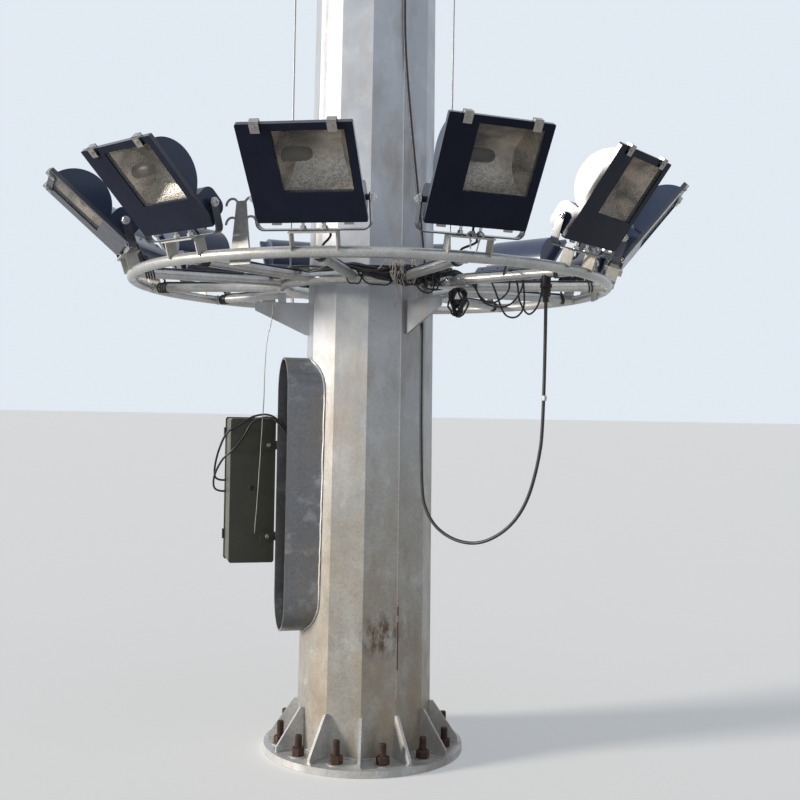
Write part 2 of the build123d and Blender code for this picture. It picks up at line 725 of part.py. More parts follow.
pulley = grooved_wheel(
    groove_radius, rim_radius, ROPE_RADIUS, PULLEY_THICKNESS, PULLEY_BORE + WELD_GAP
)
pulley = Pos(0, -PULLEY_OFFSET, pulley_z) * pulley
cable_rim = CABLE_PULLEY_GROOVE + CABLE_PULLEY_RIM
cable_pulley = grooved_wheel(
    CABLE_PULLEY_GROOVE,
    cable_rim,
    CABLE_RADIUS,
    CABLE_PULLEY_THICKNESS,
    PULLEY_BORE + WELD_GAP,
)
cable_pulley = Pos(0, -CABLE_PULLEY_OFFSET, pulley_z) * cable_pulley
save(
    "head_pulleys",
    *around(pulley, ROPE_AZIMUTHS),
    turned(cable_pulley, CABLE_PULLEY_AZIMUTH),
)


def cheek_pair(offset, inner, thickness):
    """Two cheek plates on the head plate and the pin across them."""
    inside_x = thickness / 2 + CHEEK_CLEARANCE
    outside_x = inside_x + CHEEK_PLATE
    outline = [
        (inner, head_top),
        (HEAD_PLATE_RADIUS - CHEEK_FOOT_INSET, head_top),
        (offset + CHEEK_NOSE, pulley_z - CHEEK_NOSE_DROP),
        (offset + CHEEK_NOSE, pulley_z + CHEEK_NOSE),
        (HEAD_PLATE_RADIUS, tie_z),
        (inner, tie_z),
    ]
    pin_end = outside_x + PULLEY_PIN_OVERHANG
    pin = rod_x(PULLEY_BORE, -pin_end, pin_end, -offset, pulley_z)
    pair = side_plate(outline, inside_x, outside_x)
    pair += side_plate(outline, -outside_x, -inside_x)
    return pair + pin


save(
    "head_cheeks",
    *around(cheek_pair(PULLEY_OFFSET, CHEEK_INNER, PULLEY_THICKNESS), ROPE_AZIMUTHS),
    turned(
        cheek_pair(CABLE_PULLEY_OFFSET, CABLE_CHEEK_INNER, CABLE_PULLEY_THICKNESS),
        CABLE_PULLEY_AZIMUTH,
    ),
)

tie_top = tie_z + TIE_PLATE_THICKNESS
save("head_tie_plate", rod_z(TIE_PLATE_RADIUS, 0, 0, tie_z, tie_top))

hood_top = tie_top + HOOD_BOSS_HEIGHT
rim_z = hood_top - HOOD_DROP
hood = revolve(
    Plane.XZ
    * make_face(
        Polyline(
            (0, tie_top),
            (HOOD_BOSS_RADIUS, tie_top),
            (HOOD_BOSS_RADIUS, hood_top - HOOD_SHEET),
            (HOOD_RADIUS - HOOD_SHEET, rim_z - HOOD_SHEET),
            (HOOD_RADIUS - HOOD_SHEET, rim_z - HOOD_SKIRT),
            (HOOD_RADIUS, rim_z - HOOD_SKIRT),
            (HOOD_RADIUS, rim_z),
            (HOOD_BOSS_RADIUS, hood_top),
            (0, hood_top),
            close=True,
        )
    ),
    axis=Axis.Z,
)
save("head_hood", hood)

rod = rod_z(ROD_FOOT_RADIUS, 0, 0, hood_top, hood_top + ROD_FOOT_HEIGHT)
rod += rod_z(ROD_RADIUS, 0, 0, hood_top, hood_top + ROD_LENGTH)
save("lightning_rod", rod)

# Floodlight housing: square front frame, arched lamp chamber behind the
# window, rounded gear compartment below it and the trunnion pins
frame_back = FRAME_DEPTH - FRAME_FRONT
half_width = FRAME_WIDTH / 2
frame_top = FRAME_HEIGHT - FRAME_DROP
front = block(-half_width, half_width, -FRAME_FRONT, frame_back, -FRAME_DROP, frame_top)
front = fillet(front.edges().filter_by(Axis.Y), FRAME_CORNER)
for side in (-1, 1):
    front += block(
        side * CLIP_OFFSET - CLIP_WIDTH / 2,
        side * CLIP_OFFSET + CLIP_WIDTH / 2,
        -FRAME_FRONT - GLASS_THICKNESS,
        frame_back,
        frame_top - 2 * CLIP_HEIGHT,
        frame_top + CLIP_HEIGHT,
    )

dome_y = -FRAME_FRONT - DOME_CENTRE_AHEAD
far = 4 * FRAME_WIDTH
behind = block(-far, far, frame_back, far, -far, far)
dome = rod_x(DOME_RADIUS, -DOME_HALF_WIDTH, DOME_HALF_WIDTH, dome_y, DOME_CENTRE_HEIGHT)
hollow = rod_x(
    DOME_RADIUS - DOME_WALL,
    -DOME_HALF_WIDTH + DOME_WALL,
    DOME_HALF_WIDTH - DOME_WALL,
    dome_y,
    DOME_CENTRE_HEIGHT,
)
gear_back = GEAR_DEPTH - FRAME_FRONT
gear = block(
    -GEAR_HALF_WIDTH, GEAR_HALF_WIDTH, frame_back, gear_back, -GEAR_BOTTOM, GEAR_TOP
)
gear_edges = gear.edges().filter_by(Axis.X).group_by(Axis.Y)[-1]
gear = fillet(gear_edges, GEAR_CORNER)
housing = front + (dome & behind) + gear
housing -= hollow & behind

window_x0 = WINDOW_OFFSET - WINDOW_WIDTH / 2
window_x1 = WINDOW_OFFSET + WINDOW_WIDTH / 2
window_z1 = WINDOW_BOTTOM + WINDOW_HEIGHT
glass_y0 = -FRAME_FRONT + GLASS_SETBACK
glass_y1 = glass_y0 + GLASS_THICKNESS
housing -= block(
    window_x0, window_x1, -FRAME_FRONT - 1, frame_back + 1, WINDOW_BOTTOM, window_z1
)
housing -= block(
    window_x0 - GLASS_LAP - GLASS_PLAY,
    window_x1 + GLASS_LAP + GLASS_PLAY,
    glass_y0 - GLASS_PLAY,
    glass_y1 + GLASS_PLAY,
    WINDOW_BOTTOM - GLASS_LAP - GLASS_PLAY,
    window_z1 + GLASS_LAP + GLASS_PLAY,
)
socket_x0 = DOME_WALL - DOME_HALF_WIDTH - 1
socket_x1 = socket_x0 + SOCKET_LENGTH
bulb_y = frame_back + BULB_RADIUS + BULB_ROOM
housing += rod_x(SOCKET_RADIUS, socket_x0, socket_x1, bulb_y, DOME_CENTRE_HEIGHT)
bulb = rod_x(BULB_RADIUS, socket_x1 - 1, socket_x1 + BULB_LENGTH, bulb_y, DOME_CENTRE_HEIGHT)
housing += bulb
boss_end = STIRRUP_INSIDE - SIDE_PLAY
head_start = stirrup_outside + SIDE_PLAY
for side in (-1, 1):
    for radius, start, end in (
        (BOSS_RADIUS, GEAR_HALF_WIDTH - 2, boss_end),
        (PIN_RADIUS, GEAR_HALF_WIDTH, head_start + PIN_HEAD_LENGTH),
        (PIN_HEAD_RADIUS, head_start, head_start + PIN_HEAD_LENGTH),
    ):
        x0 = min(side * start, side * end)
        x1 = max(side * start, side * end)
        housing += rod_x(radius, x0, x1, 0, 0)
housing = housing.solids()[0]

glass = block(
    window_x0 - GLASS_LAP,
    window_x1 + GLASS_LAP,
    glass_y0,
    glass_y1,
    WINDOW_BOTTOM - GLASS_LAP,
    window_z1 + GLASS_LAP,
)

for number, azimuth in enumerate(lamp_azimuths, start=1):
    face_tilt = FACE_TILTS[number - 1]
    hang = lean * Pos(0, 0, PIVOT_HEIGHT) * Rot(face_tilt - MOUNT_LEAN, 0, 0)
    save(f"floodlight_{number:02d}_housing", turned(hang * housing, azimuth))
    save(f"floodlight_{number:02d}_glass", turned(hang * glass, azimuth))
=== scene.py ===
"""High mast lighting tower, its ring of floodlights lowered to the landing brackets."""
import logging
import math
import random
from dataclasses import dataclass, field
from enum import Enum
from typing import Callable, Iterable, Sequence

import bpy
from mathutils import Matrix, Vector


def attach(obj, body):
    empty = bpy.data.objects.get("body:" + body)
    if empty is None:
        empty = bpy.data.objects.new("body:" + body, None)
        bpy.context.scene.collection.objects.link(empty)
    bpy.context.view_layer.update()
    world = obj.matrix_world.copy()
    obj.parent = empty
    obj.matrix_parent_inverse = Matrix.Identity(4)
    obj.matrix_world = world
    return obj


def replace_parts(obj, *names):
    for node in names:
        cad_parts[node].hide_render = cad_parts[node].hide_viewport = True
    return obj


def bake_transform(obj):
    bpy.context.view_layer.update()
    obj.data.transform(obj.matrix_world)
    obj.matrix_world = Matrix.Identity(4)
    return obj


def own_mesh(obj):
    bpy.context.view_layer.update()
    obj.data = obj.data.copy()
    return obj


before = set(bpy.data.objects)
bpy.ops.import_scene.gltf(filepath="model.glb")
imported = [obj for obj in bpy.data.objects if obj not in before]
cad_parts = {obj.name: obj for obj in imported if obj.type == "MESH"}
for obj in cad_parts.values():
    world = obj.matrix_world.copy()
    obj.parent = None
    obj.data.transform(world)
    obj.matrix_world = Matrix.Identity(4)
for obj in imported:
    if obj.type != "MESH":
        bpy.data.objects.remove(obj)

LOG = logging.getLogger("tower")
Color = tuple[float, float, float]
Point = tuple[float, float, float]
Pairs = Sequence[tuple[float, float]]
Points = Iterable[Sequence[float]]
Place = Matrix | None
Socket = bpy.types.NodeSocket
SIDES = 12
BASE_RADIUS = 0.300
TAPER = 0.009
RING_HEIGHT = 2.070
LAMP_AZIMUTHS = tuple(-9.0 + 30.0 * k for k in range(12))
LAMP_TILTS = (47.0, 33.0, 37.0, 39.0, 42.0, 44.0, 41.0, 43.0, 40.0, 45.0, 49.0, 48.0)
OUTER_RING = 1.055
INNER_RING = 0.400
OUTER_TUBE = 0.0212
SPOKE_TUBE = 0.020
SPOKE_TOP = RING_HEIGHT + SPOKE_TUBE
INNER_TUBE = 0.026
LEAN = 18.0
NECK_AZIMUTH = -75.0
CABLE_RADIUS = 0.007
CLAMP_HEIGHT = 2.055
LEAD = 0.0042
STAIN_BROWN = (0.30, 0.215, 0.130)
SPLASHED_MUD = (0.31, 0.225, 0.140)
WHITE_BLOOM = (0.70, 0.71, 0.70)
RUST_SPECK = (0.16, 0.07, 0.035)
SCRAPED_RUST = (0.10, 0.056, 0.033)
# Pale blue that zinc blends into higher up: painted sky light, standing in for the bluish cast of shaded
# faces.
PAINTED_SKY_TINT = (0.54, 0.575, 0.64)
PANE_DUST = (0.62, 0.60, 0.55)
SCREW_HEAD = ((0.001, 0.0), (0.0060, 0.0), (0.0052, 0.003), (0.001, 0.0035))


class Body(Enum):
    """The two bodies that are not floodlights."""

    MAST = "mast"
    CARRIAGE = "carriage"


Owner = Body | str | None


def turn(azimuth: float) -> Matrix:
    """Rotation about the mast from the front, in degrees."""
    return Matrix.Rotation(math.radians(azimuth), 4, "Z")


def at(x: float, y: float, z: float, quarters: int = 0, axis: str = "X") -> Matrix:
    """A place at a point, turned by quarter turns about an axis."""
    return Matrix.Translation((x, y, z)) @ Matrix.Rotation(quarters * math.pi / 2, 4, axis)


def polar(radius: float, azimuth: float, height: float) -> Vector:
    """Point at a radius and azimuth from the front."""
    a = math.radians(azimuth)
    return Vector((radius * math.sin(a), -radius * math.cos(a), height))


def corner_radius(height: float) -> float:
    """Axis to corner of the shaft at a height."""
    return BASE_RADIUS - TAPER * height


def circle(count: int) -> list[float]:
    """Angles of equal steps round a full turn."""
    return [2 * math.pi * step / count for step in range(count)]


class Nodes:
    """A node tree that is drawn node by node."""

    def __init__(self, tree: bpy.types.NodeTree) -> None:
        """Starts with an empty tree."""
        self.tree = tree
        tree.nodes.clear()

    def feed(self, socket: Socket, value: object) -> None:
        """Gives an input a number, a color or an output, or leaves it when None."""
        if isinstance(value, Socket):
            self.tree.links.new(value, socket)
        elif value is not None:
            socket.default_value = (*value, 1.0) if socket.type == "RGBA" else value

    def node(self, kind: str, inputs: dict[str | int, object], **settings: str) -> bpy.types.Node:
        """Adds a node.

        Args:
            kind: Its type, without the prefix of shader nodes.
            inputs: Values of its inputs, by name or place.
            settings: Its other settings.

        Returns:
            The node.
        """
        made = self.tree.nodes.new("ShaderNode" + kind)
        for name, value in settings.items():
            setattr(made, name, value)
        for key, value in inputs.items():
            self.feed(made.inputs[key], value)
        return made

    def step(self, kind: str, a: object, b: object) -> Socket:
        """One arithmetic step on outputs or numbers."""
        return self.node("Math", {0: a, 1: b}, operation=kind).outputs[0]

    def times(self, a: object, b: object) -> Socket:
        """Product of outputs or numbers."""
        return self.step("MULTIPLY", a, b)

    def seen(self) -> Socket:
        """1 for rays of the eye, in reflections and through glass, and 0 for light on things."""
        path = self.node("LightPath", {}).outputs
        looked = self.step("MAXIMUM", path["Is Camera Ray"], path["Is Glossy Ray"])
        return self.step("MAXIMUM", looked, path["Is Transmission Ray"])


class Pen(Nodes):
    """Draws the node tree of one material."""

    def __init__(self, name: str) -> None:
        """Starts a material with a principled shader."""
        self.material = bpy.data.materials.new(name)
        self.material.use_nodes = True
        super().__init__(self.material.node_tree)
        self.shader = self.node("BsdfPrincipled", {})
        self.output = self.node("OutputMaterial", {0: self.shader.outputs[0]})
        self.coords = self.node("TexCoord", {}).outputs["Object"]

    def put(self, values: dict[str, object]) -> None:
        """Sets or links inputs of the principled shader."""
        for name, value in values.items():
            self.feed(self.shader.inputs[name], value)

    def stretched(self, scale: Point | None) -> Socket:
        """Object coordinates, scaled along each axis if a scale is given."""
        if scale is None:
            return self.coords
        return self.node("Mapping", {"Vector": self.coords, "Scale": scale}).outputs[0]

    def noise(
        self, scale: float, detail: float = 4.0, stretch: Point | None = None, rough: float = 0.55
    ) -> Socket:
        """Noise value between 0 and 1.

        Args:
            scale: Features per metre.
            detail: Octaves.
            stretch: Scale of the coordinates along each axis.
            rough: Weight of the finer octaves.

        Returns:
            The value output.
        """
        inputs = {"Scale": scale, "Detail": detail, "Roughness": rough, "Vector": self.stretched(stretch)}
        return self.node("TexNoise", inputs).outputs[0]

    def cells(self, scale: float) -> tuple[Socket, Socket]:
        """Crystal cells, as a random value per cell and the distance to its middle."""
        made = self.node("TexVoronoi", {"Scale": scale, "Vector": self.coords}).outputs
        return self.node("SeparateColor", {0: made["Color"]}).outputs[0], made["Distance"]

    def span(
        self, value: Socket, low: float, high: float, to_low: float = 0.0, to_high: float = 1.0
    ) -> Socket:
        """Maps a value from one range to another and clamps it."""
        return self.node("MapRange", {0: value, 1: low, 2: high, 3: to_low, 4: to_high}).outputs[0]

    def mix(self, share: object, first: object, second: object) -> Socket:
        """Blends two colors by the share of the second."""
        return self.node("Mix", {0: share, 6: first, 7: second}, data_type="RGBA").outputs[2]

    def upright(self, source: Socket) -> Socket:
        """Vertical part of a vector."""
        return self.node("SeparateXYZ", {0: source}).outputs[2]

    def height(self) -> Socket:
        """Height above the ground, or in a lamp's own frame."""
        return self.upright(self.coords)

    def bump(self, value: Socket, strength: float, depth: float) -> None:
        """Raises the surface by a value, after any bump already there."""
        held = self.shader.inputs["Normal"]
        before = held.links[0].from_socket if held.is_linked else None
        inputs = {"Strength": strength, "Distance": depth, "Height": value, "Normal": before}
        self.feed(held, self.node("Bump", inputs).outputs[0])


@dataclass(frozen=True)
class Finish:
    """A surface finish; the subclasses draw its nodes."""

    name: str
    color: Color
    slot: str
    roughness: float = 0.5

    def tone(self, factor: float, lift: float = 0.0) -> Color:
        """The color made lighter or darker."""
        return tuple(c * factor + lift for c in self.color)

    def draw(self, pen: Pen) -> None:
        """Draws the nodes of the finish."""
        raise NotImplementedError

    def material(self) -> bpy.types.Material:
        """The material of this finish, made once."""
        found = bpy.data.materials.get(self.name)
        if found is not None:
            return found
        pen = Pen(self.name)
        self.draw(pen)
        return pen.material


@dataclass(frozen=True)
class Zinc(Finish):
    """Hot-dip galvanized steel with spangle, stains, mud near the ground and a painted bluish sky tint higher
    up.
    """

    spangle: float = 55.0
    shine: float = 0.85
    mud: float = 0.0
    stain: float = 0.35
    sky_tint_share: float = 0.0
    smear: Point | None = None

    def draw(self, pen: Pen) -> None:
        """Fine spangle, cloudy tone, painted bluish sky tint higher up, vertical stains, white bloom and mud
        splashes.
        """
        crystal, distance = pen.cells(self.spangle)
        blotch = pen.noise(2.6, 7.0, None, 0.62)
        streak = pen.noise(9.0, 6.0, (1.0, 1.0, 0.10), 0.6)
        cloud = pen.step("ADD", pen.times(crystal, 0.19), pen.times(blotch, 0.55))
        cloud = pen.step("ADD", cloud, pen.times(streak, 0.42))
        color = pen.mix(pen.span(cloud, 0.36, 0.76), self.tone(0.76), self.tone(1.20))
        # Painted sky light: from 0.9 m to 2.3 m up, the zinc blends towards a pale blue, the cast of sky-lit
        # shade.
        if self.sky_tint_share > 0.0:
            high = pen.span(pen.height(), 0.9, 2.3, 0.0, self.sky_tint_share)
            color = pen.mix(high, color, PAINTED_SKY_TINT)
        bloom = pen.span(pen.noise(8.0, 8.0, None, 0.7), 0.53, 0.72, 0.0, 0.50)
        color = pen.mix(bloom, color, WHITE_BLOOM)
        brown = pen.span(pen.noise(4.0, 8.0, (1.0, 1.0, 0.32), 0.66), 0.50, 0.66, 0.0, self.stain)
        color = pen.mix(brown, color, STAIN_BROWN)
        speck = pen.span(pen.noise(52.0, 3.0), 0.69, 0.75, 0.0, 0.60)
        color = pen.mix(pen.times(speck, self.stain), color, RUST_SPECK)
        if self.mud > 0.0:
            low = pen.span(pen.height(), 0.02, 1.60, 1.0, 0.0)
            splash = pen.span(pen.noise(3.6, 9.0, (1.0, 1.0, 0.6), 0.72), 0.43, 0.60)
            color = pen.mix(pen.times(pen.times(low, splash), self.mud), color, SPLASHED_MUD)
        if self.smear is not None:
            color = pen.mix(self.patch(pen), color, SCRAPED_RUST)
        rough = pen.span(pen.noise(9.0, 6.0), 0.3, 0.7, self.roughness - 0.07, self.roughness + 0.12)
        rough = pen.step("ADD", rough, pen.times(brown, 0.25))
        pen.put({"Base Color": color, "Metallic": self.shine, "Roughness": rough})
        pen.bump(distance, 0.04, 0.0008)
        pen.bump(pen.noise(120.0, 4.0), 0.10, 0.0006)

    def patch(self, pen: Pen) -> Socket:
        """Share of a patch of scraped rust round one point."""
        away = pen.node("VectorMath", {0: pen.coords, 1: self.smear}, operation="DISTANCE")
        near = pen.span(away.outputs["Value"], 0.045, 0.120, 1.0, 0.0)
        scraped = pen.span(pen.noise(24.0, 9.0, (1.6, 1.6, 0.6), 0.75), 0.44, 0.56, 0.0, 0.90)
        return pen.times(near, scraped)


@dataclass(frozen=True)
class Paint(Finish):
    """Sprayed or powder coat paint with orange peel and dust on top."""

    peel: float = 900.0
    dust: float = 0.25
    dust_color: Color = (0.36, 0.31, 0.25)
    coat: float = 0.0
    gloss: float = 0.5
    density: float = 1.5

    def draw(self, pen: Pen) -> None:
        """Mottled paint, orange peel, faint scuffs and settled dust."""
        worn = pen.span(pen.noise(8.0, 8.0, None, 0.65), 0.35, 0.70, 0.0, 0.8)
        color = pen.mix(worn, self.color, self.tone(1.30, 0.004))
        up = pen.span(pen.upright(pen.node("NewGeometry", {}).outputs["Normal"]), 0.15, 0.95)
        settled = pen.times(up, pen.span(pen.noise(21.0, 6.0), 0.3, 0.7, 0.3, 1.0))
        color = pen.mix(pen.times(settled, self.dust), color, self.dust_color)
        spread = 0.02 if self.coat > 0.0 else 0.06
        scuff = pen.span(pen.noise(30.0, 5.0), 0.3, 0.7, self.roughness - spread, self.roughness + spread)
        pen.put({"Base Color": color, "Roughness": scuff, "Specular IOR Level": self.gloss,
                 "IOR": self.density})
        if self.coat > 0.0:
            pen.put({"Coat Weight": self.coat, "Coat Roughness": 0.18})
        pen.bump(pen.noise(self.peel, 2.0), 0.06, 0.0003)


@dataclass(frozen=True)
class Rust(Finish):
    """Rusted bare steel."""

    def draw(self, pen: Pen) -> None:
        """Flaky rust in three tones with a coarse bump."""
        flake = pen.noise(90.0, 8.0, None, 0.7)
        color = pen.mix(pen.span(flake, 0.35, 0.65), self.tone(0.45), self.color)
        color = pen.mix(pen.span(pen.noise(24.0, 5.0), 0.50, 0.72, 0.0, 0.8), color, self.tone(2.1))
        pen.put({"Base Color": color, "Metallic": 0.15, "Roughness": pen.span(flake, 0.2, 0.8, 0.62, 0.92)})
        pen.bump(flake, 0.5, 0.0015)


@dataclass(frozen=True)
class Sheath(Finish):
    """Cable sheath of soft plastic."""

    def draw(self, pen: Pen) -> None:
        """Dusty plastic with a faint matte grain."""
        dusty = pen.span(pen.noise(35.0, 6.0), 0.4, 0.7, 0.0, 0.7)
        grain = pen.span(pen.noise(60.0, 3.0), 0.3, 0.7, self.roughness - 0.06, self.roughness + 0.1)
        pen.put({"Base Color": pen.mix(dusty, self.color, self.tone(1.8, 0.02)), "Roughness": grain})
        pen.bump(pen.noise(400.0, 2.0), 0.1, 0.0003)


@dataclass(frozen=True)
class Strand(Finish):
    """Wire rope, its slanting strands painted darker in the grooves as painted shade."""

    def draw(self, pen: Pen) -> None:
        """Slanting strand bands round the rope, darker in the grooves as painted shade."""
        inputs = {"Scale": 40.0, "Distortion": 0.6, "Vector": pen.stretched((1.2, 1.2, 1.0))}
        lay_with_groove_shade = pen.node("TexWave", inputs).outputs["Fac"]
        rough = pen.span(pen.noise(50.0), 0.3, 0.7, self.roughness, self.roughness + 0.15)
        # A half-bright copy of the rope colour in the grooves: painted shade between the strands.
        pen.put({"Base Color": pen.mix(lay_with_groove_shade, self.tone(0.5), self.color), "Metallic": 0.8, "Roughness": rough})
        pen.bump(lay_with_groove_shade, 0.5, 0.001)


@dataclass(frozen=True)
class Pane(Finish):
    """Clear toughened glass."""

    def draw(self, pen: Pen) -> None:
        """Thin clear pane with dust smears."""
        smear = pen.noise(14.0, 7.0, (1.0, 1.0, 0.5), 0.65)
        color = pen.mix(pen.span(smear, 0.4, 0.7), self.color, PANE_DUST)
        pen.put({"Base Color": color, "Roughness": pen.span(smear, 0.3, 0.7, 0.04, 0.16),
                 "Specular IOR Level": 0.35, "Alpha": 0.14, "IOR": 1.52})
        pen.bump(smear, 0.02, 0.0005)
        pen.material.blend_method = "BLEND"


@dataclass(frozen=True)
class Hammered(Finish):
    """Aluminium reflector sheet, hammered below and plain above, with a painted dark reflection on the upper
    part.
    """

    low: float = 0.165
    high: float = 0.245
    reflected_dark: Color = (0.20, 0.17, 0.14)
    plain: Color = (0.78, 0.66, 0.54)

    def draw(self, pen: Pen) -> None:
        """Bright dimpled lower part and a warm brown upper part with dark patches painted as the reflection
        of the dark lamp.
        """
        cell, distance = pen.cells(170.0)
        smear = pen.noise(7.0, 5.0, (1.0, 1.0, 1.6), 0.6)
        above = pen.span(pen.step("ADD", pen.height(), pen.times(smear, 0.10)), self.low, self.high)
        # Upper part: the sheet's warm tone mixed with dark patches, a painted reflection of the dark lamp.
        upper_tone_with_reflection = pen.mix(pen.span(smear, 0.38, 0.62), self.reflected_dark, self.plain)
        bright = pen.mix(pen.span(cell, 0.2, 0.9), self.tone(0.55), self.color)
        rough = pen.span(cell, 0.0, 1.0, self.roughness - 0.04, self.roughness + 0.16)
        pen.put({"Base Color": pen.mix(above, bright, upper_tone_with_reflection), "Metallic": 0.75, "Roughness": rough})
        pen.bump(distance, 0.45, 0.003)


@dataclass(frozen=True)
class Concrete(Finish):
    """Plain pale floor of the studio."""

    bounce: Color = (0.30, 0.28, 0.25)
    glow: float = 0.30

    def draw(self, pen: Pen) -> None:
        """Pale to the eye and in reflections, with a weaker bounce on the object."""
        share = pen.span(pen.noise(0.8, 3.0), 0.3, 0.7)
        pen.put({"Base Color": pen.mix(share, self.color, self.tone(0.985)), "Roughness": self.roughness,
                 "Specular IOR Level": 0.15})
        dull = pen.node("BsdfDiffuse", {"Color": self.bounce}).outputs[0]
        glow = pen.node("Emission", {"Color": self.color, "Strength": self.glow}).outputs[0]
        pale = pen.node("AddShader", {0: pen.shader.outputs[0], 1: glow}).outputs[0]
        both = pen.node("MixShader", {0: pen.seen(), 1: dull, 2: pale})
        pen.feed(pen.output.inputs[0], both.outputs[0])


# The shaft's finish carries the painted bluish sky tint from 0.9 m upwards.
SHAFT_ZINC = Zinc(
    "shaft_zinc", (0.42, 0.405, 0.37), "galvanized", 0.37, 150.0, 0.42, 0.75, 0.48, 0.75,
    (0.082, -0.287, 0.548))
BASE_ZINC = Zinc("base_zinc", (0.62, 0.62, 0.61), "weathered_steel", 0.40, 150.0, 0.35, 0.30, 0.45)
TUBE_ZINC = Zinc("tube_zinc", (0.53, 0.525, 0.51), "galvanized", 0.30, 190.0, 0.50, 0.0, 0.20)
# Neck zinc painted much darker and bluer than the shaft's: painted shade for the neck's shaded side.
SHADED_NECK_ZINC = Zinc("neck_zinc_painted_shade", (0.195, 0.200, 0.210), "galvanized", 0.33, 120.0, 0.55, 0.50, 0.40)
PLATE_ZINC = Zinc("plate_zinc", (0.56, 0.54, 0.49), "galvanized", 0.50, 160.0, 0.25, 0.0, 0.25)
POST_ZINC = Zinc("post_zinc", (0.42, 0.42, 0.41), "galvanized", 0.46, 160.0, 0.30, 0.0, 0.35)
LAMP_PAINT = Paint(
    "lamp_paint", (0.036, 0.052, 0.100), "lamp_black", 0.33, 700.0, 0.05, coat=0.24, gloss=0.28)
LAMP_FACE = Paint("lamp_face", (0.0170, 0.0225, 0.0460), "lamp_black", 0.22, 500.0, 0.03, density=1.18)
LAMP_EDGE = Paint("lamp_edge", (0.024, 0.028, 0.042), "lamp_black", 0.32, 700.0, 0.10, coat=0.5)
STIRRUP_PAINT = Paint("stirrup_paint", (0.040, 0.044, 0.058), "bracket_paint", 0.30, 600.0, 0.10, coat=0.5)
# Cabinet paint darkened to a deep olive as painted shade, for the box's face turned from the sun; its
# brackets take the same darkened paint.
SHADED_CABINET_PAINT = Paint("cabinet_coat_painted_shade", (0.080, 0.079, 0.057), "cabinet_paint", 0.42, 800.0, 0.10, gloss=0.30)
MACHINE_PAINT = Paint("machine_paint", (0.15, 0.17, 0.19), "machinery", 0.45, 500.0, 0.35)
DARK_PAINT = Paint("dark_bracket_paint", (0.025, 0.027, 0.034), "bracket_paint", 0.36, 600.0, 0.15)
BOX_PLASTIC = Paint("box_moulding", (0.014, 0.014, 0.016), "box_plastic", 0.45, 900.0, 0.10, gloss=0.3)
ANCHOR_RUST = Rust("anchor_rust", (0.070, 0.036, 0.022), "weathered_steel")
WASHER_STEEL = Zinc("washer_steel", (0.46, 0.44, 0.40), "weathered_steel", 0.5, 150.0, 0.35, 0.0, 0.5)
BRIGHT_ZINC = Zinc("bright_zinc", (0.62, 0.62, 0.60), "galvanized", 0.26, 220.0, 0.80, 0.0, 0.15)
CLIP_STEEL = Zinc("clip_steel", (0.36, 0.335, 0.315), "galvanized", 0.30, 220.0, 0.60, 0.0, 0.25)
CABLE_BLACK = Sheath("cable_black", (0.008, 0.008, 0.010), "cable_sheath", 0.42)
WHITE_TAPE = Sheath("white_tape", (0.72, 0.71, 0.68), "cable_sheath", 0.55)
STRAW_TIE = Sheath("straw_tie", (0.56, 0.50, 0.44), "cable_sheath", 0.6)
ROPE_WIRE = Strand("rope_wire", (0.46, 0.46, 0.45), "wire_rope", 0.35)
CLEAR_PANE = Pane("clear_pane", (0.30, 0.32, 0.33), "lamp_glass")
# Both reflector sheets carry the painted dark reflection on their upper parts.
REFLECTOR_SHEET = Hammered("reflector_sheet", (0.76, 0.71, 0.64), "lamp_black", 0.32)
CHEEK_SHEET = Hammered("cheek_sheet", (0.52, 0.45, 0.35), "lamp_black", 0.30, 0.02, 0.06)
FROSTED_BULB = Paint("frosted_bulb", (0.088, 0.076, 0.060), "lamp_glass", 0.45, 300.0, 0.0)
FLOOR = Concrete("studio_floor", (0.78, 0.77, 0.75), "galvanized", 0.9)


def add_object(name: str, data: bpy.types.ID | None) -> bpy.types.Object:
    """Puts a new object into the scene."""
    made = bpy.data.objects.new(name, data)
    bpy.context.scene.collection.objects.link(made)
    return made


def soft_line(points: Points, steps: int = 8, closed: bool = False) -> list[Vector]:
    """Smooth line through points, for fixed wiring and beads.

    Args:
        points: Points that it passes.
        steps: Pieces between two points.
        closed: True for a loop.

    Returns:
        Points along the line.
    """
    knots = [Vector(p) for p in points]
    count = len(knots)
    line = []
    for i in range(count if closed else count - 1):
        p1, p2 = knots[i], knots[(i + 1) % count]
        p0 = knots[i - 1] if closed or i > 0 else p1
        p3 = knots[(i + 2) % count] if closed or i < count - 2 else p2
        for s in range(steps):
            t = s / steps
            a = 2 * p1 + (p2 - p0) * t
            b = (2 * p0 - 5 * p1 + 4 * p2 - p3) * t * t
            c = (3 * p1 - p0 - 3 * p2 + p3) * t * t * t
            line.append(0.5 * (a + b + c))
    if not closed:
        line.append(knots[-1])
    return line


